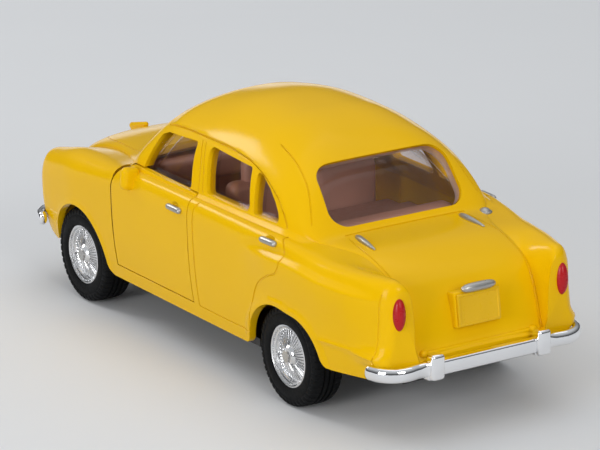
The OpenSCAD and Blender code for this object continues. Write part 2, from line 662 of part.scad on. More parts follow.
// Grille, headlamps and side lamps on the nose
grille_bar_count = 6;
grille_frame = 0.8;
module front_grille() {
    pitch = (grille_z1 - grille_z0 - grille_frame) / grille_bar_count;
    color("lightgray") translate([nose_x - grille_depth, 0, grille_z0]) {
        translate([0, -grille_half_w, 0]) cube([0.5, 2 * grille_half_w, grille_z1 - grille_z0]);
        for (s = [-1, 1]) translate([0, s * (grille_half_w - grille_frame / 2) - grille_frame / 2, 0])
            cube([grille_depth + 0.6, grille_frame, grille_z1 - grille_z0]);
        for (i = [0:grille_bar_count]) translate([0, -grille_half_w, i * pitch])
            cube([grille_depth + 0.5, 2 * grille_half_w, grille_frame]);
    }
}
module headlamp_bezels() {
    color("lightgray") for (s = [-1, 1])
        translate([nose_x - headlamp_depth, s * headlamp_y, headlamp_z]) rotate([0, 90, 0])
            rotate_extrude() polygon([[headlamp_r, 0], [headlamp_r + bezel_t, 0],
                [headlamp_r + bezel_t, headlamp_depth + 0.5], [headlamp_r + 0.2, headlamp_depth + 1],
                [headlamp_r, headlamp_depth + 0.8]]);
}
module headlamp_lenses() {
    r = headlamp_r - seat_c;
    color("white") for (s = [-1, 1])
        translate([nose_x - headlamp_depth, s * headlamp_y, headlamp_z]) rotate([0, 90, 0])
            rotate_extrude() polygon(concat([[0, 0], [r, 0]],
                [for (a = [0:15:90]) [r * cos(a), headlamp_depth + 1.1 * sin(a)]]));
}
module side_lamps() {
    color("orange") for (s = [-1, 1])
        translate([nose_x - headlamp_depth, s * side_lamp_y, side_lamp_z]) rotate([0, 90, 0])
            rotate_extrude() polygon(concat([[0, 0], [side_lamp_r, 0]],
                [for (a = [0:15:90]) [side_lamp_r * cos(a), headlamp_depth + 0.7 * sin(a)]]));
}

// Chassis base: a floor inside the sills, raised behind the rear wheels, with front axle bearings
base_half_w = half_w - 3.7;
base_waist = tyre_face_y - tyre_w - 1.2;
bearing_t = 2.6;
motor_hole_half_w = 6;
module base_outline() {
    polygon([for (s = [1, -1]) each let (
            side = [[base_step_x, base_waist], [rear_axle_x + tyre_r + 3, base_waist],
                [rear_axle_x + tyre_r + 3, base_half_w], [front_axle_x - tyre_r - 2, base_half_w],
                [front_axle_x - tyre_r - 2, base_waist], [base_front_x, base_waist]])
        s > 0 ? side : [for (i = [len(side) - 1:-1:0]) [side[i][0], -side[i][1]]]]);
}
module chassis_base() {
    color([0.1, 0.1, 0.1]) difference() {
        union() {
            translate([0, 0, base_z]) linear_extrude(base_t) base_outline();
            translate([base_tail_x, -base_waist, base_z + tail_rise])
                cube([base_step_x - base_tail_x + base_t, 2 * base_waist, base_t]);
            translate([base_step_x, -base_waist, base_z]) cube([base_t, 2 * base_waist, tail_rise + base_t]);
            translate([base_front_x - base_t, -base_waist, base_z])
                cube([base_t, 2 * base_waist, tail_rise + base_t]);
            translate([base_front_x - base_t, -base_waist, base_z + tail_rise])
                cube([base_t + 2, 2 * base_waist, base_t]);
            on_sides() translate([front_axle_x - 2.4, base_waist - bearing_t, base_z])
                cube([4.8, bearing_t, axle_z - base_z + 3]);
        }
        translate([front_axle_x, 0, axle_z]) rotate([90, 0, 0])
            cylinder(h = 4 * base_half_w, r = axle_r + run_c, center = true);
        translate([front_axle_x, 0, axle_z]) rotate([90, 0, 0])
            cylinder(h = 2 * (base_waist - bearing_t), r = axle_r + 0.6, center = true);
        translate([rear_axle_x, 0, axle_z]) rotate([90, 0, 0])
            cylinder(h = 4 * base_half_w, r = axle_r + 0.6, center = true);
        translate([motor_x0 - 0.4, -motor_hole_half_w, base_z - 1])
            cube([motor_x1 - motor_x0 + 0.8, 2 * motor_hole_half_w, base_t + 2]);
        for (s = [-1, 1]) base_hole(front_boss_x, s * boss_y, base_z);
        base_hole(rear_boss_x, 0, base_z + tail_rise);
        for (p = motor_screws) base_hole(p[0], p[1], base_z);
    }
}
module base_hole(x, y, z) {
    translate([x, y, z - 1]) cylinder(h = base_t + 2, r = screw_r + 0.15, $fn = 24);
    translate([x, y, z - 1]) cylinder(h = 1 + screw_head_t + 0.05, r = screw_head_r + 0.15, $fn = 32);
}
screw_head_r = 1.8;
screw_head_t = 0.7;
screw_l = 7;
module screw(x, y, z, l) {
    translate([x, y, z + 0.05]) {
        difference() {
            cylinder(h = screw_head_t, r = screw_head_r, $fn = 32);
            for (a = [0, 90]) rotate([0, 0, a]) translate([-screw_head_r * 0.6, -0.25, -0.1])
                cube([screw_head_r * 1.2, 0.5, 0.5]);
        }
        cylinder(h = l, r = screw_r, $fn = 24);
    }
}
module base_screws() {
    color("silver") {
        for (s = [-1, 1]) screw(front_boss_x, s * boss_y, base_z, screw_l);
        screw(rear_boss_x, 0, base_z + tail_rise, screw_l);
        for (p = motor_screws) screw(p[0], p[1], base_z, base_t + flange_t);
    }
}

// Door hinge places
hinge_x = door_front_x - hinge_behind;
hinge_y = skin_y(door_front_x, (door_bottom_z + belt_z) / 2) - hinge_depth;
hinge_mid_z = (door_bottom_z + belt_z) / 2;
knuckle_h = 6.4;
lug_h = 1.8;
lug_r = hinge_pin_r + 0.55;
// Room inside the wing for the front edge of the opening door
swing_c = 0.15;
module hinge_relief() {
    z0 = door_bottom_z - door_gap / 2;
    zs = [for (i = [0:16]) z0 + (belt_z - 0.5 - z0) * i / 16];
    translate([hinge_x, hinge_y, 0]) rotate_extrude($fn = 64) polygon(concat([[0, zs[0]]],
        [for (z = zs) [norm([hinge_behind, skin_y(door_front_x, z) - hinge_y]) + swing_c, z]],
        [[0, zs[16]]]));
}

// Interior moulding: floor, motor cover, seats, dashboard and the hinge brackets of the doors
tub_t = 1.2;
tub_half_w = half_w - 6.2;
floor_half_w = base_half_w - 2.2;
cover_z = motor_top_z + 0.4;
cover_front_x = motor_x1 + 0.6;
bulkhead_x = door_front_x + 3.6;
seat_half_w = 6.4;
seat_y = half_w - 14.1;
front_seat_x = cover_front_x + 1.9;
dash_z0 = belt_z - 5.4;
dash_z1 = belt_z - 3;
dash_half_w = half_w - 8.4;
headrest_h = 0.33 * cabin_h;
rear_seat_x = rear_axle_x + 4.6;
module interior_tub() {
    color("saddlebrown") difference() {
        union() {
            translate([cover_front_x, -floor_half_w, base_top])
                cube([bulkhead_x - cover_front_x, 2 * floor_half_w, tub_t]);
            translate([cover_front_x, -tub_half_w, base_top]) cube([tub_t, 2 * tub_half_w, cover_z + tub_t - base_top]);
            translate([rear_seat_x - 4, -tub_half_w, cover_z])
                cube([cover_front_x - rear_seat_x + 4 + tub_t, 2 * tub_half_w, tub_t]);
            translate([rear_seat_x, -tub_half_w + 0.6, cover_z + tub_t])
                cube([13, 2 * tub_half_w - 1.2, 1.6]);
            translate([rear_seat_x - 4, -tub_half_w + 2.4, cover_z + tub_t])
                cube([4, 2 * tub_half_w - 4.8, 0.36 * cabin_h]);
            on_sides() front_seat();
            translate([bulkhead_x - 8.6, -dash_half_w, dash_z0]) cube([8.6, 2 * dash_half_w, dash_z1 - dash_z0]);
            translate([bulkhead_x, -base_waist, base_top]) cube([tub_t, 2 * base_waist, dash_z1 - base_top]);
            on_sides() hinge_bracket();
        }
        on_sides() translate([hinge_x, hinge_y, 0]) cylinder(h = belt_z, r = hinge_pin_r + seat_c, $fn = 32);
        wheel_at() cylinder(h = 20, r = column_r + seat_c, $fn = 24);
    }
}
module front_seat() {
    translate([front_seat_x, seat_y - seat_half_w, base_top]) {
        cube([13, 2 * seat_half_w, 7.6]);
        translate([0, 0, 7.6]) cube([3.6, 2 * seat_half_w, belt_z + 0.08 * cabin_h - base_top - 7.6]);
        translate([0.6, seat_half_w - 3.4, belt_z - base_top]) cube([2.4, 6.8, headrest_h]);
    }
}
module hinge_bracket() {
    z0 = hinge_mid_z - knuckle_h / 2 - lug_h - 0.2;
    height = knuckle_h + 2 * lug_h + 0.4;
    inner_y = base_waist - 2.4;
    for (z = [z0, z0 + height - lug_h]) translate([0, 0, z]) {
        translate([hinge_x, hinge_y, 0]) cylinder(h = lug_h, r = lug_r, $fn = 32);
        translate([hinge_x - lug_r, inner_y, 0]) cube([2 * lug_r, hinge_y - inner_y, lug_h]);
        translate([hinge_x - lug_r, inner_y, 0]) cube([bulkhead_x - hinge_x + lug_r + tub_t, 2.4, lug_h]);
    }
}
module door_hinge_pins() {
    l = knuckle_h + 2 * lug_h + 0.4;
    color("silver") for (s = [-1, 1]) translate([hinge_x, s * hinge_y, hinge_mid_z - l / 2])
        cylinder(h = l, r = hinge_pin_r, $fn = 32);
}

// Steering wheel on the right-hand side, its column glued into the dashboard
wheel_rim_r = 0.28 * cabin_h;
wheel_tilt = 114;
wheel_rim_t = 0.55;
column_r = 0.8;
wheel_x = bulkhead_x - 13;
module wheel_at() {
    translate([wheel_x, -seat_y, dash_z0 + 2.4]) rotate([0, wheel_tilt, 0]) children();
}
module steering_wheel() {
    color("saddlebrown") wheel_at() {
        rotate_extrude() translate([wheel_rim_r, 0]) circle(wheel_rim_t, $fn = 24);
        cylinder(h = 9.5, r = column_r, $fn = 24);
        translate([0, 0, -0.5]) cylinder(h = 1.2, r = 1.3);
        for (a = [0, 120, 240]) rotate([0, 0, a]) translate([0, -0.4, -0.3]) cube([wheel_rim_r, 0.8, 0.6]);
    }
}

// Front doors: the lower panel with a mirror, and a web inside that carries the hinge knuckle
door_rows = 6;
door_steps = 10;
web_t = 1.6;
mirror_x = door_front_x - 6.4;
mirror_z = belt_z - 1.9;
function door_row(x, inset) = concat(low_section(x, inset, door_rows, true),
    [[curve(valley_y, x) - inset, belt_z + 0.8]]);
module door_strip() {
    xs = [for (i = [0:door_steps]) door_rear_x - 1 + (door_front_x - door_rear_x + 2) * i / door_steps];
    half = len(door_row(0, 0));
    n = 2 * half;
    last = door_steps;
    polyhedron(
        points = [for (x = xs) each concat(
            [for (p = door_row(x, 0)) [x, p[0], p[1]]],
            let (q = door_row(x, door_t)) [for (i = [half - 1:-1:0]) [x, q[i][0], q[i][1]]])],
        faces = concat(
            [for (i = [0:last - 1], j = [0:n - 1]) let (k = (j + 1) % n)
                each [[i * n + j, (i + 1) * n + j, (i + 1) * n + k], [i * n + j, (i + 1) * n + k, i * n + k]]],
            [for (j = [0:half - 2]) each [[j, j + 1, n - 2 - j], [j, n - 2 - j, n - 1 - j]]],
            [for (j = [0:half - 2]) let (b = last * n)
                each [[b + j, b + n - 2 - j, b + j + 1], [b + j, b + n - 1 - j, b + n - 2 - j]]]),
        convexity = 6);
}
module hinge_web() {
    translate([hinge_x - web_t / 2, hinge_y, hinge_mid_z - knuckle_h / 2])
        cube([web_t, hinge_depth - door_t + 0.4, knuckle_h]);
}
module door_mirror() {
    y = skin_y(mirror_x, mirror_z);
    hull() for (p = [[0.2, -1.3], [0.6, 1.2], [2.4, 1.4], [2.7, -0.9]])
        translate([mirror_x, y - 1.2 + p[0], mirror_z + p[1]]) sphere(0.7, $fn = 20);
}
module door() {
    difference() {
        union() {
            intersection() {
                door_strip();
                side_prism(10, 30) door_outline(0);
            }
            door_mirror();
            hinge_web();
            translate([hinge_x, hinge_y, hinge_mid_z - knuckle_h / 2]) cylinder(h = knuckle_h, r = lug_r, $fn = 32);
        }
        translate([hinge_x, hinge_y, 0]) cylinder(h = roof_z, r = hinge_pin_r + run_c, $fn = 32);
        handle(front_handle_x, front_handle_z, false);
    }
}
module left_door() {
    color("gold") door();
}
module right_door() {
    color("gold") mirror([0, 1, 0]) door();
}
module left_door_handle() {
    color("silver") handle(front_handle_x, front_handle_z, true);
}
module right_door_handle() {
    color("silver") mirror([0, 1, 0]) handle(front_handle_x, front_handle_z, true);
}

// Wheels: axle, chrome hub with moulded wire spokes, and tyre; local Z points outwards
hub_face = tyre_face_y - 0.4;
hub_back = tyre_face_y - tyre_w + 0.8;
module wheel_pose(x, s) {
    translate([x, 0, axle_z]) rotate([-90 * s, 0, 0]) children();
}
module hub() {
    h = hub_face - hub_back;
    dish = rim_r - 0.7;
    difference() {
        union() {
            translate([0, 0, hub_back]) rotate_extrude() polygon([[0, 0], [rim_r, 0], [rim_r, h],
                [rim_r - 0.3, h + 0.2], [dish, h], [dish - 0.3, h - 1.6], [1.8, h - 1], [1.5, h + 0.2], [0, h + 0.2]]);
            for (i = [0:spoke_count - 1]) rotate([0, 0, 360 * i / spoke_count])
                translate([1.2, -0.13, hub_back + h - 1.7]) rotate([0, 6, 0]) cube([dish - 1.3, 0.26, 0.8]);
        }
        cylinder(h = 40, r = axle_r + seat_c / 2);
    }
}
module tyre() {
    h = tyre_w / 2;
    translate([0, 0, tyre_face_y - h]) difference() {
        rotate_extrude($fn = 64) polygon([[rim_r + seat_c, 0.2 - h], [rim_r + 1, -h], [tyre_r - 0.7, -h],
            [tyre_r - 0.2, 0.3 - h], [tyre_r, 0.8 - h], [tyre_r, h - 0.8], [tyre_r - 0.2, h - 0.3],
            [tyre_r - 0.7, h], [rim_r + 1, h], [rim_r + seat_c, h - 0.2]]);
        for (z = [-0.9, 0.9]) translate([0, 0, z]) rotate_extrude($fn = 64)
            translate([tyre_r - 0.4, -0.25]) square([1, 0.5]);
    }
}
module axle(x) {
    translate([x, 0, axle_z]) rotate([90, 0, 0]) cylinder(h = 2 * (hub_face + 0.6), r = axle_r, center = true);
}
module front_axle() {
    color("silver") axle(front_axle_x);
}
module rear_axle() {
    color("silver") axle(rear_axle_x);
}
module front_left_hub() {
    color("lightgray") wheel_pose(front_axle_x, 1) hub();
}
module front_right_hub() {
    color("lightgray") wheel_pose(front_axle_x, -1) hub();
}
module rear_left_hub() {
    color("lightgray") wheel_pose(rear_axle_x, 1) hub();
}
module rear_right_hub() {
    color("lightgray") wheel_pose(rear_axle_x, -1) hub();
}
module front_left_tyre() {
    color([0.12, 0.12, 0.12]) wheel_pose(front_axle_x, 1) tyre();
}
module front_right_tyre() {
    color([0.12, 0.12, 0.12]) wheel_pose(front_axle_x, -1) tyre();
}
module rear_left_tyre() {
    color([0.12, 0.12, 0.12]) wheel_pose(rear_axle_x, 1) tyre();
}
module rear_right_tyre() {
    color([0.12, 0.12, 0.12]) wheel_pose(rear_axle_x, -1) tyre();
}

// Pull-back motor: involute gears, a spring barrel and a case in two halves split on the centre line
function inv(a) = tan(a) * 180 / PI - a;
function flank(z, r) = let (rp = gear_module * z / 2, rb = rp * cos(pressure_a))
    90 / z - flank_c / rp * 180 / PI + inv(pressure_a) - (r > rb ? inv(acos(rb / r)) : 0);
function gear_points(z) = let (
        rp = gear_module * z / 2,
        rb = rp * cos(pressure_a),
        ra = rp + addendum * gear_module,
        rf = rp - dedendum * gear_module,
        r0 = max(rb, rf),
        radii = concat([rf], [for (i = [0:4]) r0 + (ra - r0) * i / 4]))
    [for (t = [0:z - 1]) each concat(
        [for (r = radii) let (a = 360 * t / z - flank(z, r)) r * [cos(a), sin(a)]],
        [for (i = [len(radii) - 1:-1:0]) let (a = 360 * t / z + flank(z, radii[i]))
            radii[i] * [cos(a), sin(a)]])];
// Gear in the X-Z plane from y0 towards +Y
module gear(z, y0, t, phase) {
    translate([0, y0 + t, 0]) rotate([90, 0, 0]) linear_extrude(t) rotate(phase) polygon(gear_points(z));
}
module shaft(x, z, r, y0, y1) {
    translate([x, y1, z]) rotate([90, 0, 0]) cylinder(h = y1 - y0, r = r, $fn = 32);
}
module axle_pinion() {
    color("white") difference() {
        translate([rear_axle_x, 0, axle_z]) gear(pinion_teeth, gear_gap, gear_t, idler_a);
        shaft(rear_axle_x, axle_z, axle_r + seat_c / 2, -20, 20);
    }
}
module idler_gear() {
    color("white") difference() {
        translate([idler_x, 0, idler_z]) {
            gear(idler_teeth, gear_gap, gear_t, idler_a + 180 + 180 / idler_teeth);
            gear(pinion_teeth, -barrel_t - gear_gap, barrel_t + 2 * gear_gap, barrel_a);
        }
        shaft(idler_x, idler_z, idler_shaft_r + run_c, -20, 20);
    }
}
cup_r = gear_module * (barrel_teeth / 2 - dedendum) - 0.6;
cup_floor = 0.8;
module spring_barrel() {
    color("white") difference() {
        translate([barrel_x, 0, barrel_z])
            gear(barrel_teeth, -barrel_t - gear_gap, barrel_t, barrel_a + 180 + 180 / barrel_teeth);
        shaft(barrel_x, barrel_z, arbor_r + run_c, -20, 20);
        shaft(barrel_x, barrel_z, cup_r, -barrel_t - gear_gap + cup_floor, 20);
    }
}
spring_t = 0.22;
module mainspring() {
    r0 = arbor_r + 0.7;
    step = 15;
    count = spring_turns * 360 / step;
    pitch = (cup_r - spring_t - seat_c - r0) / count;
    color("silver") translate([barrel_x, -gear_gap - 0.3, barrel_z]) rotate([90, 0, 0])
        linear_extrude(barrel_t - cup_floor - 0.3 - seat_c) polygon(concat(
            [for (i = [0:count]) (r0 + pitch * i) * [cos(step * i), sin(step * i)]],
            [for (i = [count:-1:0]) (r0 + pitch * i + spring_t) * [cos(step * i), sin(step * i)]]));
}
module idler_shaft() {
    color("silver") shaft(idler_x, idler_z, idler_shaft_r, -case_half_w, case_half_w);
}
module spring_arbor() {
    color("silver") shaft(barrel_x, barrel_z, arbor_r, -case_half_w, case_half_w);
}
module case_outline(grow) {
    for (pair = [[[rear_axle_x, axle_z, cavity_axle_r], [idler_x, idler_z, cavity_idler_r]],
        [[idler_x, idler_z, cavity_idler_r], [barrel_x, barrel_z, cavity_barrel_r]]])
        hull() for (c = pair) translate([c[0], c[1]]) circle(c[2] + grow, $fn = 48);
}
module case_half() {
    difference() {
        union() {
            side_prism(0, case_half_w) case_outline(case_t);
            translate([idler_x - flange_w / 2, case_half_w - 1, base_top]) cube([flange_w, 6, flange_t]);
        }
        side_prism(-1, case_half_w - case_t) case_outline(0);
        shaft(rear_axle_x, axle_z, axle_r + run_c, -1, 20);
        shaft(idler_x, idler_z, idler_shaft_r + seat_c, -1, 20);
        shaft(barrel_x, barrel_z, arbor_r + seat_c, -1, 20);
        translate([motor_screws[0][0], motor_screws[0][1], 0])
            cylinder(h = 40, r = screw_r + seat_c, $fn = 24);
    }
}
module motor_case_left() {
    color("dimgray") case_half();
}
module motor_case_right() {
    color("dimgray") mirror([0, 1, 0]) case_half();
}

body_shell();
chassis_base();
interior_tub();
steering_wheel();
window_glazing();
front_bumper();
rear_bumper();
front_grille();
headlamp_bezels();
headlamp_lenses();
side_lamps();
tail_lamps();
boot_hinges();
fuel_cap();
number_plate();
plate_lamp();
rear_door_handles();
door_hinge_pins();
base_screws();
motor_case_left();
motor_case_right();
idler_shaft();
spring_arbor();
left_door();
left_door_handle();
right_door();
right_door_handle();
front_axle();
front_left_hub();
front_right_hub();
front_left_tyre();
front_right_tyre();
rear_axle();
rear_left_hub();
rear_right_hub();
rear_left_tyre();
rear_right_tyre();
axle_pinion();
idler_gear();
spring_barrel();
mainspring();
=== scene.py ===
import math
import bpy
from mathutils import Matrix, Vector


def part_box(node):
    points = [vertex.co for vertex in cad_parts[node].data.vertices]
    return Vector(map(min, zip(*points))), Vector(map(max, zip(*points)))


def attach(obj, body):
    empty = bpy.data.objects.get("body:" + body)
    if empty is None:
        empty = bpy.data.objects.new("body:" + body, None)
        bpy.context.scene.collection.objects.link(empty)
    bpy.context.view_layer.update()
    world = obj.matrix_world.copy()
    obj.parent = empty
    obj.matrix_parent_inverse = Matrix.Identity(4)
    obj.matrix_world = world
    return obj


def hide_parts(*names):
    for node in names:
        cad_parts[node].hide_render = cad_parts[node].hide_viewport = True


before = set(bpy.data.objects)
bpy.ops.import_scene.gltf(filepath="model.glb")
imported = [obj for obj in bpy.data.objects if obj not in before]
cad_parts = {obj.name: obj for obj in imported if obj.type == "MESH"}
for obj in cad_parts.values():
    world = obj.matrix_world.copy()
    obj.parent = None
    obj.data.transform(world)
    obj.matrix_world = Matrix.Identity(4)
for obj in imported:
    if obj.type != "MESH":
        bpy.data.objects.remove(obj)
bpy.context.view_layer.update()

bpy.ops.object.select_all(action="DESELECT")
print("frame loaded,", len(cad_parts), "nodes")


# camera, floor and light; all places in this file are in millimetres of the car's frame
viewPoint = {"azimuth": 237.746, "elevation": 17.212, "distance": 649.7, "target": (-0.5, 0, 20),
             "pan": -0.021, "tilt": 0.057, "roll": 1.185, "lens": 222.64}


def named(name):
    piece = bpy.context.object
    piece.name = name
    return piece


def aimCamera(v):
    a, e = math.radians(v["azimuth"]), math.radians(v["elevation"])
    back = Vector((math.sin(a) * math.cos(e), -math.cos(a) * math.cos(e), math.sin(e)))
    place = (Vector(v["target"]) + back * v["distance"]) / 1000
    ahead = -back
    right = ahead.cross(Vector((0, 0, 1))).normalized()
    up = right.cross(ahead)
    turn = Matrix.Rotation(math.radians(v["pan"]), 3, up)
    ahead, right = turn @ ahead, turn @ right
    turn = Matrix.Rotation(math.radians(v["tilt"]), 3, right)
    ahead, up = turn @ ahead, turn @ up
    turn = Matrix.Rotation(math.radians(v["roll"]), 3, ahead)
    right, up = turn @ right, turn @ up
    bpy.ops.object.camera_add(location=place)
    camera = named("photoCamera")
    pose = Matrix((right, up, -ahead)).transposed().to_4x4()
    pose.translation = place
    camera.matrix_world = pose
    camera.data.lens = v["lens"]
    camera.data.sensor_width = 36
    camera.data.sensor_fit = "HORIZONTAL"
    camera.data.clip_start = 0.01
    camera.data.clip_end = 20
    bpy.context.scene.camera = camera


def setInputs(node, values):
    for key, value in values.items():
        node.inputs[key].default_value = value
    return node


def addNode(nodes, kind, values=None, **settings):
    node = nodes.new("ShaderNode" + kind)
    for key, value in settings.items():
        setattr(node, key, value)
    return setInputs(node, values or {})


def wire(links, *joints):
    for giver, out, taker, into in joints:
        links.new(giver.outputs[out], taker.inputs[into])


def newMaterial(name):
    mat = bpy.data.materials.new(name)
    mat.use_nodes = True
    nodes = mat.node_tree.nodes
    return mat, nodes, mat.node_tree.links, nodes["Principled BSDF"]


# each light: name, place, target, size and power
studio = {"worldColour": (0.94, 0.97, 1.0, 1), "worldLow": 0.07, "worldHigh": 0.56, "worldBand": (0.14, 0.66),
          "backdrop": 0.6, "floorColour": (0.73, 0.738, 0.75, 1), "floorSize": 6, "mottle": 0.985,
          "lights": [("topSoftbox", (20, -90, 640), (0, 0, 15), (620, 620), 0.75),
                     ("frontSoftbox", (640, 280, 470), (0, 0, 20), (240, 240), 1.5),
                     ("sideFill", (-240, 665, 200), (0, 0, 20), (300, 300), 2.15),
                     ("tailFill", (-740, 20, 350), (-20, 0, 20), (320, 320), 1.9),
                     ("noseCard", (590, -370, 45), (10, 0, 25), (560, 90), 0.16)]}


def buildFloor(s):
    bpy.ops.mesh.primitive_plane_add(size=s["floorSize"])
    floor = named("studioFloor")
    mat, nodes, links, shader = newMaterial("paleFloor")
    coords = addNode(nodes, "TexCoord")
    noise = addNode(nodes, "TexNoise", {"Scale": 40})
    darker = tuple(c * s["mottle"] for c in s["floorColour"][:3]) + (1,)
    tint = addNode(nodes, "Mix", {6: s["floorColour"], 7: darker}, data_type="RGBA")
    setInputs(shader, {"Roughness": 0.85, "Specular IOR Level": 0.2})
    # clear from below, so that the underside can be looked at
    side = addNode(nodes, "NewGeometry")
    clear = addNode(nodes, "BsdfTransparent")
    either = addNode(nodes, "MixShader")
    wire(links, (coords, "Object", noise, "Vector"), (noise, "Fac", tint, 0), (tint, 2, shader, "Base Color"),
         (side, "Backfacing", either, 0), (shader, "BSDF", either, 1), (clear, "BSDF", either, 2),
         (either, "Shader", nodes["Material Output"], "Surface"))
    floor.data.materials.append(mat)


def buildStudio(s):
    buildFloor(s)
    bpy.context.scene.view_settings.view_transform = "Standard"  # keeps the yellow as strong as it is
    world = bpy.data.worlds.new("softRoom")
    bpy.context.scene.world = world
    world.use_nodes = True
    # bright overhead and dim towards the horizon, with a pale backdrop behind it all
    nodes, links = world.node_tree.nodes, world.node_tree.links
    sky = setInputs(nodes["Background"], {"Color": s["worldColour"]})
    coords = addNode(nodes, "TexCoord")
    split = addNode(nodes, "SeparateXYZ")
    height = addNode(nodes, "Math", operation="ABSOLUTE")
    band = addNode(nodes, "MapRange", {"From Min": s["worldBand"][0], "From Max": s["worldBand"][1],
                                       "To Min": s["worldLow"], "To Max": s["worldHigh"]})
    paths = addNode(nodes, "LightPath")
    seen = addNode(nodes, "Mix", {3: s["backdrop"]})
    wire(links, (coords, "Generated", split, "Vector"), (split, "Z", height, 0),
         (height, "Value", band, "Value"), (paths, "Is Camera Ray", seen, 0), (band, "Result", seen, 2),
         (seen, 0, sky, "Strength"))
    for name, place, target, size, power in s["lights"]:
        bpy.ops.object.light_add(type="AREA", location=[c / 1000 for c in place])
        lamp = named(name)
        lamp.data.shape = "RECTANGLE"
        lamp.data.size, lamp.data.size_y = size[0] / 1000, size[1] / 1000
        lamp.data.energy = power
        lamp.rotation_euler = (Vector(target) - Vector(place)).to_track_quat("-Z", "Y").to_euler()


aimCamera(viewPoint)
buildStudio(studio)
print("camera, floor and lights are set")


# small helpers for modelling
def deselect():
    bpy.ops.object.select_all(action="DESELECT")


def hold(piece):
    if bpy.context.object and bpy.context.object.mode != "OBJECT":
        bpy.ops.object.mode_set(mode="OBJECT")
    deselect()
    piece.select_set(True)
    bpy.context.view_layer.objects.active = piece


def editAll():
    bpy.ops.object.mode_set(mode="EDIT")
    bpy.ops.mesh.select_all(action="SELECT")


def editDone():
    bpy.ops.object.mode_set(mode="OBJECT")


def settle(piece):
    hold(piece)
    bpy.ops.object.transform_apply(location=True, rotation=True, scale=True)


def copied(piece):
    hold(piece)
    bpy.ops.object.duplicate(linked=False)
    return bpy.context.object


def discard(*pieces):
    for piece in pieces:
        bpy.data.objects.remove(piece, do_unlink=True)


def fromPoints(name, points, faces):
    mesh = bpy.data.meshes.new(name)
    mesh.from_pydata([(x / 1000, y / 1000, z / 1000) for x, y, z in points], [], faces)
    mesh.validate()
    piece = bpy.data.objects.new(name, mesh)
    bpy.context.collection.objects.link(piece)
    return piece


def loft(name, rings, closed=False):
    # skin over rings of points, with flat ends or closed on itself
    n, m = len(rings[0]), len(rings)
    faces = [(i * n + j, i * n + (j + 1) % n, (i + 1) % m * n + (j + 1) % n, (i + 1) % m * n + j)
             for i in range(m if closed else m - 1) for j in range(n)]
    if not closed:
        faces.append(tuple(range(n - 1, -1, -1)))
        faces.append(tuple((m - 1) * n + j for j in range(n)))
    piece = fromPoints(name, [p for ring in rings for p in ring], faces)
    tidyNormals(piece)
    return piece


def tidyNormals(piece, merge=0.0):
    hold(piece)
    editAll()
    if merge:
        bpy.ops.mesh.remove_doubles(threshold=merge)
        bpy.ops.mesh.dissolve_degenerate(threshold=merge)
        bpy.ops.mesh.select_all(action="SELECT")
    bpy.ops.mesh.normals_make_consistent(inside=False)
    editDone()


def carve(piece, tools, how="DIFFERENCE"):
    for tool in tools:
        mod = piece.modifiers.new("cut", "BOOLEAN")
        mod.operation = how
        mod.solver = "MANIFOLD"
        mod.object = tool
        hold(piece)
        bpy.ops.object.modifier_apply(modifier=mod.name)
    discard(*tools)


def weld(piece, extras):
    carve(piece, extras, "UNION")


def joined(name, pieces):
    hold(pieces[0])
    for piece in pieces[1:]:
        piece.select_set(True)
    bpy.ops.object.join()
    pieces[0].name = name
    return pieces[0]


def prism(name, outline, sweep):
    # flat outline as a filled circle pulled to shape, then extruded along the sweep
    deselect()
    bpy.ops.mesh.primitive_circle_add(vertices=len(outline), fill_type="NGON")
    piece = named(name)
    for v, p in zip(piece.data.vertices, outline):
        v.co = Vector(p) / 1000
    editAll()
    bpy.ops.mesh.extrude_region_move(TRANSFORM_OT_translate={"value": Vector(sweep) / 1000})
    bpy.ops.mesh.select_all(action="SELECT")
    bpy.ops.mesh.normals_make_consistent(inside=False)
    editDone()
    return piece


def tube(name, path, radius, sides=8):
    # round bead along a path
    pts = [Vector(p) for p in path]
    rings, side = [], None
    for i, p in enumerate(pts):
        heading = (pts[min(i + 1, len(pts) - 1)] - pts[max(i - 1, 0)]).normalized()
        if side is None:
            side = heading.orthogonal().normalized()
        side = (side - heading * side.dot(heading)).normalized()
        other = heading.cross(side)
        rings.append([tuple(p + radius * (math.cos(t) * side + math.sin(t) * other))
                      for t in (2 * math.pi * j / sides for j in range(sides))])
    return loft(name, rings)


def spun(name, profile, centre, axis, steps=48):
    # closed (radius, height) profile turned about an axis
    axis = Vector(axis).normalized()
    out = axis.orthogonal().normalized()
    centre = Vector(centre)
    deselect()
    bpy.ops.mesh.primitive_circle_add(vertices=len(profile), fill_type="NOTHING")
    piece = named(name)
    for v, (r, h) in zip(piece.data.vertices, profile):
        v.co = (centre + out * r + axis * h) / 1000
    editAll()
    bpy.ops.mesh.spin(steps=steps, angle=2 * math.pi, center=centre / 1000, axis=axis)
    editDone()
    tidyNormals(piece, 0.000004)
    return piece


def rod(name, r, low, high, place, axis=(0, 0, 1), steps=40):
    return spun(name, [(0, low), (r, low), (r, high), (0, high)], place, axis, steps)


def softBlock(name, low, high, width, segments=3):
    # box with rounded edges
    deselect()
    low, high = Vector(low), Vector(high)
    bpy.ops.mesh.primitive_cube_add(size=1, location=(low + high) / 2000)
    piece = named(name)
    piece.scale = (high - low) / 1000
    settle(piece)
    editAll()
    bpy.ops.mesh.bevel(offset=width / 1000, segments=segments, affect="EDGES")
    editDone()
    return piece


def ball(name, place, size, segments=32):
    deselect()
    bpy.ops.mesh.primitive_uv_sphere_add(segments=segments, ring_count=segments // 2, radius=0.001,
                                         location=[c / 1000 for c in place])
    piece = named(name)
    piece.scale = size
    settle(piece)
    return piece


def hullOfBalls(name, balls):
    whole = joined(name, [ball(name, (x, y, z), (r, r, r), 24) for x, y, z, r in balls])
    hold(whole)
    editAll()
    bpy.ops.mesh.convex_hull()
    editDone()
    tidyNormals(whole, 0.000002)
    return whole


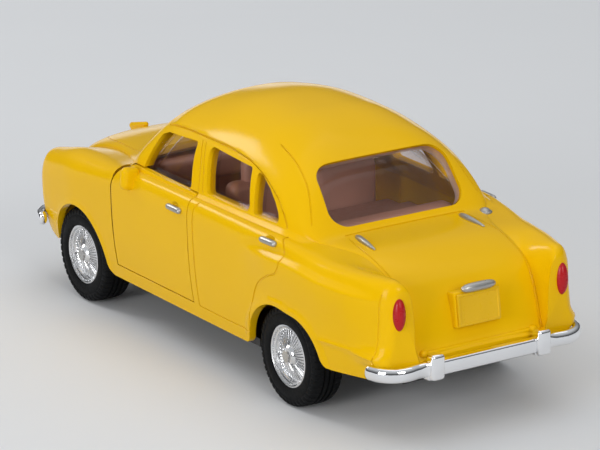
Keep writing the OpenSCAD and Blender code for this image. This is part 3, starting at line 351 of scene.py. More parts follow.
def mirrored(piece, name):
    # the same piece on the other side of the car
    twin = copied(piece)
    twin.name = name
    twin.scale = (1, -1, 1)
    settle(twin)
    tidyNormals(twin)
    return twin


def bothSides(left):
    return [left, mirrored(left, left.name + "Right")]


def smooth(piece, angle=32):
    hold(piece)
    bpy.ops.object.shade_smooth_by_angle(angle=math.radians(angle))


def rounded(corners, radius, steps=6):
    # outline through corner points with round corners
    out, n = [], len(corners)
    radii = radius if isinstance(radius, (list, tuple)) else [radius] * n
    for i in range(n):
        p, a, b = Vector(corners[i]), Vector(corners[i - 1]), Vector(corners[(i + 1) % n])
        u, v = (a - p).normalized(), (b - p).normalized()
        half = math.acos(max(-1, min(1, u.dot(v)))) / 2
        cut = min(radii[i] / math.tan(half), 0.48 * (a - p).length, 0.48 * (b - p).length)
        r = cut * math.tan(half)
        mid = p + (u + v).normalized() * (r / math.sin(half))
        start, end = p + u * cut - mid, p + v * cut - mid
        for s in range(steps + 1):
            w = start.slerp(end, s / steps) * r if r > 1e-4 else start
            out.append(tuple(mid + w))
    return out


def hullOf(points):
    # convex outline round a set of points, counter-clockwise
    pts = sorted(set((round(x, 4), round(y, 4)) for x, y in points))

    def chain(seq):
        out = []
        for p in seq:
            while len(out) > 1 and ((out[-1][0] - out[-2][0]) * (p[1] - out[-2][1])
                                    - (out[-1][1] - out[-2][1]) * (p[0] - out[-2][0])) <= 0:
                out.pop()
            out.append(p)
        return out[:-1]
    return chain(pts) + chain(pts[::-1])


def circlePoints(x, z, r, n=72):
    return [(x + r * math.cos(2 * math.pi * i / n), z + r * math.sin(2 * math.pi * i / n)) for i in range(n)]


def step(a, b, v):
    t = max(0.0, min(1.0, (v - a) / (b - a)))
    return t * t * (3 - 2 * t)


def between(a, b, c, d, v):
    # up from a to b and down again from c to d
    return step(a, b, v) * (1 - step(c, d, v))


def hump(middle, wide, v):
    return math.exp(-((v - middle) / wide) ** 2)


# body shell: sections along the car, each from the sill up to the middle of the roof
bodyLines = {
    "topLine": [(-56, 14), (-54.6, 15.4), (-53.6, 20.2), (-51.59, 24.2), (-47.98, 26.8), (-41.99, 28.6),
                (-34, 29.4), (-32.4, 31.2), (-26.4, 39.2), (-19.9, 42.7), (-10.4, 44.7), (-1.2, 45.2),
                (10, 43.9), (18, 40.4), (26, 31), (28, 30.2), (41, 29.2), (50.4, 27.3), (54.4, 25.8),
                (56.4, 24.6)],
    "valleyZ": [(-56, 13.4), (-54.6, 14.2), (-53.2, 18.4), (-51.03, 23.6), (-47.98, 26), (-41.99, 27.9),
                (-33.4, 28.8), (-30.4, 29.8), (-26.4, 30.2), (21.8, 30), (26.6, 28.8), (40, 27.3), (50.4, 25),
                (56.4, 22.6)],
    "valleyY": [(-56, 13.2), (-50.01, 13.2), (-41.99, 13.5), (-35.4, 15.5), (-31.4, 18.2), (-26.4, 19.6),
                (-0.4, 20.2), (20.8, 19.7), (26.6, 17.3), (34, 14.3), (43, 12.5), (56.4, 11.1)],
    "crestZ": [(-56, 27.8), (-54, 27.8), (-50.01, 27.8), (-39.95, 28.1), (-33.4, 28.8), (-26.4, 29.4),
               (-0.4, 29.5), (20.8, 29.3), (29.6, 28.5), (43, 27.7), (50.4, 26.2), (56.4, 24.8)],
    "crestY": [(-56, 17), (-54, 17.2), (-50.01, 17.4), (-39.95, 17.9), (-33.4, 19.3), (-26.4, 20.3),
               (-0.4, 20.7), (20.8, 20.3), (29.6, 18.7), (43, 17.6), (56.4, 17.3)],
    "shoulderZ": [(-56, 21.4), (-50.01, 23.8), (-39.95, 24.6), (-26.4, 25.6), (25.8, 24.6), (40, 22.8),
                  (50.4, 20.6), (56.4, 18.8)],
    "sideY": [(-56, 19.3), (-54, 19.9), (-47.98, 20.9), (-39.95, 22.1), (-29.4, 22.65), (-15.4, 22.7),
              (25.8, 22.6), (40, 22.4), (48.4, 21.8), (53.4, 21.2), (56.4, 20.5)],
    "bottomZ": [(-56, 11.5), (-50.01, 10.4), (-40.4, 9.7), (-21.4, 8), (32, 8), (50.4, 9), (56.4, 10.6)],
    "squareness": [(-56, 2.4), (-37.4, 2.4), (-30.4, 4.8), (-18.4, 3.2), (-1.2, 2.5), (10, 2.3), (22.6, 3.6),
                   (30.6, 2.3), (56.4, 2.3)],
    "lean": [(-56, 0), (-33.4, 0.02), (-26.4, 0.18), (-1.2, 0.2), (18, 0.18), (26.6, 0.02), (56.4, 0)]}
body = {"tail": -56, "nose": 56.4, "wall": 1.4, "endRound": 2.4, "endPull": 0.75, "tuck": 1.5, "sill": 8,
        "belt": 30, "doorRear": -0.4, "doorFront": 25.8, "doorBottom": 10.8, "doorGap": 0.2, "doorCorner": 5,
        "hinge": (23.7, 19.6517), "rearAxle": -29.4, "frontAxle": 40, "axleZ": 8.8, "archRound": 9.9,
        "archBack": (-33, 10.3, 6.9), "rearShift": 0.8, "rearDrop": 1, "frontShift": 0.5, "frontLess": 0.2,
        "rows": (34, 56), "pitch": 0.5, "tailWall": 6.4, "noseWall": 2, "innerRows": (12, 24),
        "innerPitch": 1.2, "rearHandle": (-26.2, 28.3), "frontHandle": (3.6, 26.8)}


def knotSlopes(line):
    rise = [(b[1] - a[1]) / (b[0] - a[0]) for a, b in zip(line, line[1:])]
    mid = [0 if p * q <= 0 else 2 * p * q / (p + q) for p, q in zip(rise, rise[1:])]
    return [rise[0]] + mid + [rise[-1]]


lineSlopes = {name: knotSlopes(line) for name, line in bodyLines.items()}


def lineAt(name, x):
    line, slopes = bodyLines[name], lineSlopes[name]
    x = max(line[0][0], min(line[-1][0], x))
    i = 0
    while i + 2 < len(line) and x >= line[i + 1][0]:
        i += 1
    h = line[i + 1][0] - line[i][0]
    t = (x - line[i][0]) / h
    return ((2 * t ** 3 - 3 * t ** 2 + 1) * line[i][1] + (t ** 3 - 2 * t ** 2 + t) * h * slopes[i]
            + (3 * t ** 2 - 2 * t ** 3) * line[i + 1][1] + (t ** 3 - t ** 2) * h * slopes[i + 1])


def endInset(x, inset):
    e = min(x - body["tail"] - inset, body["nose"] - inset - x)
    r = body["endRound"]
    if e >= r:
        return 0
    return body["endPull"] * r * (1 - math.sqrt(max(0, 1 - (1 - max(0, e) / r) ** 2)))


def topDrop(x, inset):
    s = (lineAt("topLine", x + 0.2) - lineAt("topLine", x - 0.2)) / 0.4
    return inset * min(2.2, math.sqrt(1 + s * s))


# relief on the sides: how high, over which bands it rises and falls, and how it fades along the car
relief = {"wingLine": [(-55, 25.5), (-47, 26.0), (-40.8, 26.2), (-35.6, 26.8), (-30.4, 27.05),
                       (-21.5, 26.65), (-17.8, 26.25), (-15, 26.0)],
          "wing": 0.55, "wingBand": (0.0, 1.5, 2.2, 9.0), "wingFade": (-54.5, -47, -27, -17),
          "hollow": 0.42, "hollowBand": (-2.0, -0.1, 0.0, 1.1), "lip": (0.34, 1.2), "frontLip": (0.17, 0.6),
          "lipSoft": (-0.25, 0.15), "strip": 0.34, "stripZ": (14.9, 0.36),
          "stripFade": (-55.5, -53.5, -40.6, -39.4), "tail": (-55, -46), "waist": 0.25, "waistZ": (17.6, 2.4),
          "foot": 0.9, "footBand": (12.6, 14, 14.4, 17), "narrow": 1.1, "narrowBand": (15, 22),
          "ledge": 0.42, "ledgeBand": (0, 0.45, 0.8, 5), "ledgeFade": (-27.6, -24, 13.5, 17.2)}
# arch centres and radii; the rear arch runs on into the smaller one behind it
frontArch = (body["frontAxle"] - body["frontShift"], body["axleZ"], body["archRound"] - body["frontLess"])
rearArch = (body["rearAxle"] + body["rearShift"], body["axleZ"] - body["rearDrop"], body["archRound"])


def along(line, x):
    for (x0, z0), (x1, z1) in zip(line, line[1:]):
        if x0 <= x <= x1:
            return z0 + (z1 - z0) * (x - x0) / (x1 - x0)
    return line[0][1] if x < line[0][0] else line[-1][1]


def archDistance(x, z):
    # how far outside the nearer wheel arch
    cx, cz, r = rearArch if x < 5 else frontArch
    if x >= cx or x >= 5:
        return math.hypot(x - cx, z - cz) - r
    bx, bz, br = body["archBack"]
    if x >= bx:
        t = (cx - x) / (cx - bx)
        return z - (cz + r) * (1 - t) - (bz + br) * t
    return math.hypot(x - bx, max(0, z - bz)) - br


def sideRelief(x, z):
    # rear wing's crease, lips round the wheel arches, strip behind the rear wheel and the tail's waist
    r, out = relief, 0
    if -55.5 < x < -15:
        drop = along(r["wingLine"], x) - z
        raised = r["wing"] * between(*r["wingBand"], drop) - r["hollow"] * between(*r["hollowBand"], drop)
        out += between(*r["wingFade"], x) * raised
    if abs(x + 30) < 14 or abs(x - 39.5) < 13:
        tall, wide = r["lip"] if x < 5 else r["frontLip"]
        start, end = r["lipSoft"]
        out += tall * (1 - step(wide + start, wide + end, archDistance(x, z)))
    if -55 < x < -39:
        out += r["strip"] * between(*r["stripFade"], x) * hump(*r["stripZ"], z)
    tail = 1 - step(*r["tail"], x)
    shaped = r["foot"] * between(*r["footBand"], z) - r["narrow"] * step(*r["narrowBand"], z)
    return out + tail * (shaped - r["waist"] * hump(*r["waistZ"], z))


def lowSection(x, inset, rows, skirt=True, shaped=False):
    pull = endInset(x, inset)
    ys = lineAt("sideY", x) - inset - pull
    zs = lineAt("shoulderZ", x) - pull
    zb = lineAt("bottomZ", x) + pull * 0.6 if skirt else body["sill"] - 4
    yu = min(ys - 0.3, lineAt("crestY", x) - pull * 0.5)
    zu = lineAt("crestZ", x) - inset - pull
    out = []
    for j in range(rows + 1):
        out.append([ys - body["tuck"] * (1 - j / rows) ** 2.5, zb + (zs - zb) * j / rows])
    for j in range(1, rows + 1):
        a = math.pi / 2 * j / rows
        out.append([yu + (ys - yu) * max(0, math.cos(a)) ** 0.8, zs + (zu - zs) * math.sin(a) ** 0.8])
    if shaped:
        for p in out:
            p[0] += sideRelief(x, p[1])
    return out


def wingInner(x, rows=10):
    # the inner side of the rear wing, from its crest down to the valley beside the boot
    y0, z0 = lowSection(x, 0, 2, True, True)[-1]
    y1, z1 = highSection(x, 0, 2)[0]
    full, pull = 1 - step(-53.5, -45, x), endInset(x, 0)
    out = []
    for j in range(1, rows):
        t = j / rows
        a = math.pi / 2 * t
        y = y1 + (y0 - y1) * (1 - math.sin(a) ** 0.85) + pull * 0.5 * math.sin(a)
        z = z1 + (z0 - z1) * math.cos(a) ** 0.85
        flatY, flatZ = y0 + (y1 - y0) * t, z0 + (z1 - z0) * t
        out.append([flatY + (y - flatY) * full, flatZ + (z - flatZ) * full])
    return out


def roofLedge(x, z):
    # the roof stands a little proud above the side windows
    above = z - along(grooves["drip"][::-1], x)
    return relief["ledge"] * between(*relief["ledgeFade"], x) * between(*relief["ledgeBand"], above)


def highSection(x, inset, rows):
    pull = endInset(x, inset)
    yv = lineAt("valleyY", x) - inset - pull * 0.5
    zv = lineAt("valleyZ", x) - inset
    top = max(zv + 0.4, lineAt("topLine", x) - topDrop(x, inset))
    n, k = lineAt("squareness", x), lineAt("lean", x)
    m = 2 + 5 * k
    out = []
    for j in range(rows + 1):
        a = math.pi / 2 * (j / rows) ** 1.25
        h = math.sin(a) ** (2 / m)
        y = 0 if j == rows else yv * (1 - k * h) * max(0, math.cos(a)) ** (2 / n)
        out.append([y, zv + (top - zv) * h])
    return out


def wholeRing(x, half):
    return [(x, y, z) for y, z in half] + [(x, -y, z) for y, z in half[-2::-1]]


def stationList(a, b, pitch, fine=(0, 0.12, 0.26, 0.45, 0.7, 1.0, 1.4, 1.9), ends=2.5):
    # close together near both ends, even between them
    span = b - a - 2 * ends
    n = max(2, int(span / pitch))
    middle = [a + ends + span * i / n for i in range(n + 1)]
    return [a + f for f in fine] + middle + [b - f for f in fine[::-1]]


def crossing(half, at, axis):
    # where a half section passes a sideways place (axis 0) or a height (axis 1)
    for p, q in zip(half, half[1:]):
        a, b = p[axis], q[axis]
        if min(a, b) <= at <= max(a, b) and abs(b - a) > 1e-9:
            return p[1 - axis] + (q[1 - axis] - p[1 - axis]) * (at - a) / (b - a)
    return half[-1][1 - axis]


def skinSide(x, z):
    # outer y of the left side at a height, lower body or cabin
    half = lowSection(x, 0, 24, True, True) if z < lineAt("crestZ", x) - 0.05 else highSection(x, 0, 60)
    return crossing(half, z, 1)


def skinTop(x, y):
    # outer z over a sideways place on the roof, bonnet or boot
    return crossing(highSection(x, 0, 80)[::-1], abs(y), 0)


def bodySolid(name, inset, x0, x1, pitch, lowRows, highRows, skirt, shaped=False):
    rings = []
    for x in stationList(x0, x1, pitch):
        half = lowSection(x, inset, lowRows, skirt, shaped)
        high = highSection(x, inset, highRows)
        if shaped:
            half += wingInner(x)
            high = [[y + roofLedge(x, z), z] for y, z in high[:-1]] + high[-1:]
        rings.append(wholeRing(x, half + high))
    return loft(name, rings)


def cabinSolid(name, inset, x0, x1, pitch, rows):
    return loft(name, [wholeRing(x, highSection(x, inset, rows)) for x in stationList(x0, x1, pitch)])


# window outlines as seen from the side, and the two screens on their slopes
windows = {"front": ([(1.9, 30.2), (4.3, 37.7), (14.9, 36.9), (16.9, 36.1), (18.9, 29.8)],
                     [0.7, 0.8, 1.2, 1.0, 0.6]),
           "rear": ([(-16.7, 30.5), (-13.7, 37.3), (0.1, 38.0), (-3.1, 30.6)], [0.9, 0.8, 0.9, 1.0]),
           "quarter": ([(-25.2, 30.6), (-24.4, 32.1), (-22.75, 33.6), (-20.3, 35.25), (-17.0, 36.85),
                        (-15.6, 36.9), (-17.8, 30.5)], [0.5, 2.0, 3.0, 3.0, 2.0, 0.4, 0.6]),
           "screen": {"foot": (26.6, 30.2), "along": (-8.6, 10.2), "low": 1.4, "high": 12.74, "halfLow": 16.1,
                      "halfHigh": 13.3, "round": 2.6},
           "back": {"foot": (-33.4, 29.4), "along": (7, 9.8), "low": 1.1, "high": 12.8, "halfLow": 13.5,
                    "halfHigh": 12.9, "round": 3.2}}


def inward(outline, by):
    # outline shrunk towards its middle
    cx = sum(p[0] for p in outline) / len(outline)
    cz = sum(p[1] for p in outline) / len(outline)
    out = []
    for x, z in outline:
        d = math.hypot(x - cx, z - cz)
        out.append((x + (cx - x) * by / d, z + (cz - z) * by / d))
    return out


sideIn, sideOut = 12, 30  # how far in and out the cuts through a side reach


def sidePrism(name, outline, y0=sideIn, y1=sideOut):
    return prism(name, [(x, y0, z) for x, z in outline], (0, y1 - y0, 0))


def screenPrism(name, w, by=0.0, depth=8):
    slope = Vector((w["along"][0], 0, w["along"][1])).normalized()
    foot = Vector((w["foot"][0], 0, w["foot"][1]))
    normal = slope.cross(Vector((0, 1, 0)))
    low, high, wide, narrow = w["low"] + by, w["high"] - by, w["halfLow"] - by, w["halfHigh"] - by
    flat = rounded([(-wide, low), (-narrow, high), (narrow, high), (wide, low)], w["round"] - by * 0.5, 8)
    back = normal * depth / 2
    return prism(name, [foot + slope * s + Vector((0, y, 0)) - back for y, s in flat], normal * depth)


def windowTools(by=0.0):
    tools = []
    for name in ("front", "rear", "quarter"):
        outline = rounded(*windows[name])
        tools += bothSides(sidePrism(name + "Cut", inward(outline, by) if by else outline, 11.5, sideOut))
    return tools + [screenPrism(name + "Cut", windows[name], by) for name in ("screen", "back")]


def doorOutline(grow):
    b = body
    x0, x1 = b["doorRear"] - grow, b["doorFront"] + grow
    z0, z1 = b["doorBottom"] - grow, b["belt"] + grow
    r = b["doorCorner"] + grow
    turns = [math.radians(t) for t in range(0, 91, 6)]
    arc = [(x1 - r + r * math.cos(t), z1 - r + r * math.sin(t)) for t in turns]
    return [(x0, z0), (x1, z0)] + arc + [(x0, z1)]


def archOutline(which):
    if which == "rear":
        bx, bz, br = body["archBack"]
        return hullOf(circlePoints(*rearArch) + circlePoints(bx, bz, br) + circlePoints(bx, 0, br))
    x, z, r = frontArch
    return hullOf(circlePoints(x, z, r) + circlePoints(x, 0, r))


hingeRoom = {"opening": 62, "play": 0.16, "least": 1.72, "behind": 2.4, "slices": 80, "places": 12,
             "below": 0.17, "underBelt": 0.8, "nearGap": 0.1, "nearSkin": 0.15}


def hingeRelief(h):
    # room for the front edge of the opening door: the widest turn that would meet the wing at each height
    hx, hy = body["hinge"]
    corner, opening = body["doorCorner"], math.radians(h["opening"])
    z0, z1 = body["doorBottom"] - h["below"], body["belt"] - h["underBelt"]
    profile = [(0, z0)]
    for i in range(h["slices"] + 1):
        z = z0 + (z1 - z0) * i / h["slices"]
        over = max(0, z - body["belt"] + corner)
        front = body["doorFront"] - corner + math.sqrt(max(0, corner ** 2 - over ** 2))
        reach, back = h["least"], hx - h["behind"]
        for k in range(h["places"] + 1):
            px = back + (front - back) * k / h["places"]
            out = skinSide(px, z) - hy
            far = math.hypot(px - hx, out)
            turned = max(0, math.atan2(out, px - hx) - opening)
            endX, endY = hx + far * math.cos(turned), hy + far * math.sin(turned)
            ahead = endX > front + body["doorGap"] - h["nearGap"]
            if out > 0 and ahead and endY < skinSide(endX, z) + h["nearSkin"]:
                reach = max(reach, far)
        profile.append((reach + h["play"], z))
    return spun("hingeRoom", profile + [(0, z1)], (hx, hy, 0), (0, 0, 1), 64)


def onSide(points):
    return [(x, skinSide(x, z), z) for x, z in points]


def onTop(points):
    return [(x, y, skinTop(x, y)) for x, y in points]


def dense(points, pitch=0.5):
    # smooth path through the points at an even pitch
    pts = [Vector(p) for p in points]
    out = []
    for i in range(len(pts) - 1):
        p0, p1, p2, p3 = pts[max(i - 1, 0)], pts[i], pts[i + 1], pts[min(i + 2, len(pts) - 1)]
        n = max(1, int((p2 - p1).length / pitch))
        for t in (k / n for k in range(n)):
            out.append(tuple(0.5 * (2 * p1 + (p2 - p0) * t + (2 * p0 - 5 * p1 + 4 * p2 - p3) * t * t
                                    + (3 * p1 - p0 - 3 * p2 + p3) * t ** 3)))
    return out + [tuple(pts[-1])]


# engraved lines: places along and up on the sides, along and across on the top
grooves = {"width": 0.17, "fine": 0.12, "sides": 6, "acrossSteps": 60,
           "across": (("bootTop", -33.95, 12.0), ("bonnetTop", 28.4, 13.0)),
           "rearDoorRear": [(-28.4, 29.35), (-30.0, 28.6), (-30.8, 27.0), (-29.7, 24.0), (-26.4, 22.4),
                            (-23.0, 20.0), (-20.9, 16.2), (-19.6, 12.2), (-19.4, 10.6)],
           "rearDoorFront": [(-3.2, 29.3), (-2.5, 28.2), (-2.3, 26), (-2.4, 18), (-2.4, 10.6)],
           "rearDoorFoot": [(-19.4, 10.6), (-12, 10.55), (-2.4, 10.6)],
           "drip": [(17.2, 37.5), (15.6, 37.85), (11.0, 38.4), (3.4, 38.75), (-5.1, 38.75), (-12.5, 38.1),
                    (-18.0, 36.65), (-23.4, 34.2), (-26.7, 31.5), (-27.6, 30.4)],
           "pillarFront": [(3.2, 38.2), (0.9, 34.8), (-0.35, 31.0), (-0.5, 30.4)],
           "pillarRear": [(1.9, 38.2), (-0.4, 34.3), (-1.6, 31.0), (-1.75, 30.4)],
           "roofRear": [(-16.2, 13.1), (-19.6, 13.5), (-23.0, 14.0), (-25.6, 14.5), (-27.8, 15.1),
                        (-30.0, 16.1), (-31.2, 16.8)],
           "bootSide": [(-35.0, 12.0), (-39.5, 12.5), (-43.2, 12.8), (-47.2, 12.85), (-50.2, 12.8),
                        (-52.5, 12.75), (-54.0, 12.7), (-55.0, 12.6)],
           "bonnetSide": [(29.2, 13.6), (36, 12.6), (43, 11.2), (49, 9.6), (53.4, 7.2)],
           "tailSeam": [(-53.9, 13.0), (-53.9, 18), (-53.9, 22), (-54.0, 24.4), (-54.2, 25.6)]}


def grooveTools():
    g, tools = grooves, []
    for width, names in (("width", ("rearDoorRear", "rearDoorFront", "rearDoorFoot", "drip")),
                         ("fine", ("pillarFront", "pillarRear", "tailSeam"))):
        for name in names:
            tools += bothSides(tube(name, onSide(dense(g[name])), g[width], g["sides"]))
    for name in ("roofRear", "bootSide", "bonnetSide"):
        path = dense(g[name], 0.12 if name == "bootSide" else 0.5)
        tools += bothSides(tube(name, onTop(path), g["fine"], g["sides"]))
    for name, x, half in g["across"]:
        path = [(x, -half + 2 * half * i / g["acrossSteps"]) for i in range(g["acrossSteps"] + 1)]
        tools.append(tube(name, onTop(path), g["width"], g["sides"]))
    return tools


# fillets where the arches meet the edges beside them: arch, edge height, fillet, way along the car
archCorners = ((*frontArch, 8.0, 2.2, -1), (*frontArch, 9.05, 2.0, 1), (*rearArch, 8.0, 2.2, 1),
               (*body["archBack"], 9.82, 2.0, -1))


def cornerTools(steps=12, below=2.5, beyond=3.5):
    tools = []
    for ax, az, r, edge, fillet, way in archCorners:
        cz = edge + fillet
        cx = ax + way * math.sqrt((r + fillet) ** 2 - (cz - az) ** 2)
        start, end = math.atan2(az - cz, ax - cx), -math.pi / 2
        if way > 0 and start > 0:
            start -= 2 * math.pi
        arc = [(cx + fillet * math.cos(t), cz + fillet * math.sin(t))
               for t in (start + (end - start) * i / steps for i in range(steps + 1))]
        inner = cx - way * (fillet + beyond)
        outline = arc + [(cx, edge - below), (inner, edge - below), (inner, arc[0][1])]
        tools += bothSides(sidePrism("corner", outline))
    return tools


handleRoom = {"up": 0.55, "skinUp": 0.6, "out": 0.15, "size": (1.25, 0.55, 0.75)}


def scoop(x, z):
    # finger room above a door handle
    r = handleRoom
    return ball("scoop", (x, skinSide(x, z + r["skinUp"]) + r["out"], z + r["up"]), r["size"])


plate = {"tilt": -7, "edge": 0.12, "rim": 0.28, "slope": 0.1, "deep": 0.12,
         "block": ((-55.2, -4.5, 17.4), (-50.6, 4.5, 23.4)), "blockEdge": 0.35}
# ridge and knobs over the bumper, bonnet ornament, and the tail's raised bottom edge between the skirts
bodyExtras = {"ridge": [(-55.1, y, 14.35) for y in (-10.4, -9, -5, 0, 5, 9, 10.4)], "ridgeRound": 0.42,
              "knob": (-55.0, 10.9, 14.2), "knobSize": (0.8, 0.9, 0.8),
              "ornament": [(52.0, 0, 27.2, 0.5), (57.0, 0, 25.9, 0.6), (56.0, 0, 24.6, 0.5)],
              "underTail": [(-60, 12.75), (-56, 12.2), (-50, 11.3), (-45, 10.93), (-45, 4), (-60, 4)],
              "underHalf": 12.8}


def tilted(piece, angle, pivot):
    hold(piece)
    bpy.ops.transform.rotate(value=math.radians(angle), orient_axis="Y",
                             center_override=tuple(c / 1000 for c in pivot))
    settle(piece)


def buildBody(b, e):
    shell = bodySolid("bodyShell", 0, b["tail"], b["nose"], b["pitch"], *b["rows"], True, True)
    low, high = plate["block"]
    block = softBlock("plateBlock", low, high, plate["blockEdge"])
    tilted(block, plate["tilt"], (low[0], 0, low[2]))
    ridge = tube("tailRidge", e["ridge"], e["ridgeRound"], 16)
    x, y, z = e["knob"]
    knobs = [ball("tailKnob", (x, s * y, z), e["knobSize"]) for s in (-1, 1)]
    weld(shell, [block, ridge, hullOfBalls("ornament", e["ornament"])] + knobs)
    cavity = bodySolid("cavity", b["wall"], b["tail"] + b["tailWall"], b["nose"] - b["noseWall"],
                       b["innerPitch"], *b["innerRows"], False)
    carve(shell, [cavity])
    carve(shell, windowTools())
    for which in ("rear", "front"):
        carve(shell, bothSides(sidePrism(which + "Arch", archOutline(which))))
    carve(shell, cornerTools())
    carve(shell, [sidePrism("underTail", e["underTail"], -e["underHalf"], e["underHalf"])])
    doorway = sidePrism("doorway", doorOutline(b["doorGap"]))
    for cut in (doorway, hingeRelief(hingeRoom), scoop(*b["rearHandle"])):
        carve(shell, bothSides(cut))
    carve(shell, grooveTools())
    smooth(shell)
    return shell


# finishes
def finish(name, f):
    # colour in broad soft patches, gloss and bump from a fine grain
    mat, nodes, links, shader = newMaterial(name)
    middle = {"From Min": 0.3, "From Max": 0.7}
    coords = addNode(nodes, "TexCoord")
    broad = addNode(nodes, "TexNoise", {"Scale": f["patch"], "Detail": 3})
    fine = addNode(nodes, "TexNoise", {"Scale": f["fine"], "Detail": 4})
    tint = addNode(nodes, "Mix", {6: f["colour"] + (1,), 7: f["tint"] + (1,)}, data_type="RGBA")
    spread = addNode(nodes, "MapRange", middle)
    gloss = addNode(nodes, "MapRange", {**middle, "To Min": f["rough"][0], "To Max": f["rough"][1]})
    bump = addNode(nodes, "Bump", {"Strength": f["bump"], "Distance": 0.0001})
    wire(links, (coords, "Object", broad, "Vector"), (coords, "Object", fine, "Vector"),
         (broad, "Fac", spread, "Value"), (spread, "Result", tint, 0), (tint, 2, shader, "Base Color"),
         (fine, "Fac", gloss, "Value"), (gloss, "Result", shader, "Roughness"), (fine, "Fac", bump, "Height"),
         (bump, "Normal", shader, "Normal"))
    setInputs(shader, {"Metallic": f.get("metal", 0), "Coat Weight": f.get("coat", 0), "Coat Roughness": 0.06,
                       "Specular IOR Level": f.get("shine", 0.5)})
    if f.get("soften"):
        # light catches the moulded edges
        edge = addNode(nodes, "Bevel", {"Radius": f["soften"] / 1000}, samples=4)
        wire(links, (edge, "Normal", bump, "Normal"))
    return mat


def clearFinish(name, f):
    # see-through, with more reflection towards the edges of sight
    mat, nodes, links, shader = newMaterial(name)
    coords = addNode(nodes, "TexCoord")
    haze = addNode(nodes, "TexNoise", {"Scale": f["haze"]})
    gloss = addNode(nodes, "MapRange", {"To Min": f["rough"][0], "To Max": f["rough"][1]})
    through = addNode(nodes, "BsdfTransparent", {"Color": f["tint"] + (1,)})
    facing = addNode(nodes, "LayerWeight", {"Blend": 0.5})
    edge = addNode(nodes, "Math", {1: f["falloff"]}, operation="POWER")
    amount = addNode(nodes, "MapRange", {"To Min": f["least"], "To Max": f["most"]})
    mix = addNode(nodes, "MixShader")
    wire(links, (coords, "Object", haze, "Vector"), (haze, "Fac", gloss, "Value"),
         (gloss, "Result", shader, "Roughness"), (facing, "Facing", edge, 0),
         (edge, "Value", amount, "Value"), (amount, "Result", mix, 0), (through, "BSDF", mix, 1),
         (shader, "BSDF", mix, 2), (mix, "Shader", nodes["Material Output"], "Surface"))
    setInputs(shader, {"Base Color": f["colour"] + (1,), "Metallic": f.get("metal", 1)})
    return mat


def dress(piece, look):
    if not piece.material_slots:
        piece.data.materials.append(looks[look])
    for place in piece.material_slots:
        place.material = looks[look]


def keep(piece, bodyName, node, look=None):
    # the piece with its look, the body it rides and the CAD node it stands for
    if look:
        dress(piece, look)
    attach(piece, bodyName)
    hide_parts(node)


finishes = {
    "yellowPlastic": {"colour": (0.80, 0.46, 0.001), "tint": (0.82, 0.48, 0.002), "patch": 22, "fine": 700,
                      "rough": (0.15, 0.19), "bump": 0.004, "shine": 0.11, "soften": 0.16},
    "chromePlate": {"colour": (0.92, 0.92, 0.93), "tint": (0.86, 0.865, 0.88), "patch": 120, "fine": 1600,
                    "rough": (0.05, 0.11), "bump": 0.02, "metal": 1.0},
    "hubPlate": {"colour": (0.84, 0.84, 0.85), "tint": (0.74, 0.745, 0.755), "patch": 160, "fine": 1500,
                 "rough": (0.15, 0.24), "bump": 0.02, "metal": 1.0},
    "silverPaint": {"colour": (0.50, 0.49, 0.47), "tint": (0.42, 0.41, 0.39), "patch": 260, "fine": 2600,
                    "rough": (0.26, 0.42), "bump": 0.10, "metal": 0.85},
    "brightSteel": {"colour": (0.58, 0.57, 0.55), "tint": (0.44, 0.43, 0.42), "patch": 220, "fine": 1800,
                    "rough": (0.22, 0.38), "bump": 0.06, "metal": 1.0},
    "blackRubber": {"colour": (0.0040, 0.0043, 0.0048), "tint": (0.0062, 0.0064, 0.0068), "patch": 160,
                    "fine": 2200, "rough": (0.50, 0.68), "bump": 0.12, "shine": 0.11},
    "blackPlastic": {"colour": (0.016, 0.016, 0.017), "tint": (0.024, 0.024, 0.025), "patch": 60,
                     "fine": 2400, "rough": (0.42, 0.58), "bump": 0.25},
    "brownPlastic": {"colour": (0.50, 0.265, 0.195), "tint": (0.46, 0.24, 0.175), "patch": 90, "fine": 1500,
                     "rough": (0.40, 0.55), "bump": 0.18, "soften": 0.12},
    "redPlastic": {"colour": (0.40, 0.006, 0.010), "tint": (0.42, 0.007, 0.011), "patch": 60, "fine": 1400,
                   "rough": (0.24, 0.34), "bump": 0.03, "shine": 0.3},
    "amberPlastic": {"colour": (0.72, 0.22, 0.01), "tint": (0.78, 0.27, 0.015), "patch": 300, "fine": 1800,
                     "rough": (0.14, 0.24), "bump": 0.05, "coat": 0.3},
    "lampLens": {"colour": (0.78, 0.80, 0.82), "tint": (0.66, 0.68, 0.70), "patch": 500, "fine": 2000,
                 "rough": (0.06, 0.12), "bump": 0.08, "coat": 0.6, "metal": 0.35},
    "plateYellow": {"colour": (0.72, 0.42, 0.005), "tint": (0.76, 0.45, 0.008), "patch": 160, "fine": 1500,
                    "rough": (0.26, 0.34), "bump": 0.02, "shine": 0.25},
    "greyPlastic": {"colour": (0.055, 0.057, 0.062), "tint": (0.075, 0.077, 0.082), "patch": 110,
                    "fine": 1900, "rough": (0.36, 0.50), "bump": 0.15},
    "whiteNylon": {"colour": (0.78, 0.76, 0.70), "tint": (0.70, 0.68, 0.62), "patch": 240, "fine": 2000,
                   "rough": (0.30, 0.42), "bump": 0.08},
    "clearPlastic": {"colour": (0.90, 0.90, 0.92), "tint": (0.955, 0.925, 0.915), "haze": 90,
                     "rough": (0.03, 0.07), "falloff": 4.0, "least": 0.025, "most": 0.7},
    # the back pane's cut edges: a pale pinkish painted sheen, the light caught in the clear edge mixed in as
    # diffuse colour
    "paneEdgePaintedSheen": {"colour": (0.80, 0.62, 0.58), "tint": (0.97, 0.93, 0.92), "haze": 240, "rough": (0.2, 0.4),
                 "metal": 0, "falloff": 1.0, "least": 0.42, "most": 0.62}}
looks = {name: (clearFinish if "falloff" in f else finish)(name, f) for name, f in finishes.items()}
print("finishes are ready")


shell = buildBody(body, bodyExtras)
keep(shell, "car", "body_shell", "yellowPlastic")
print("body shell:", len(shell.data.polygons), "faces")


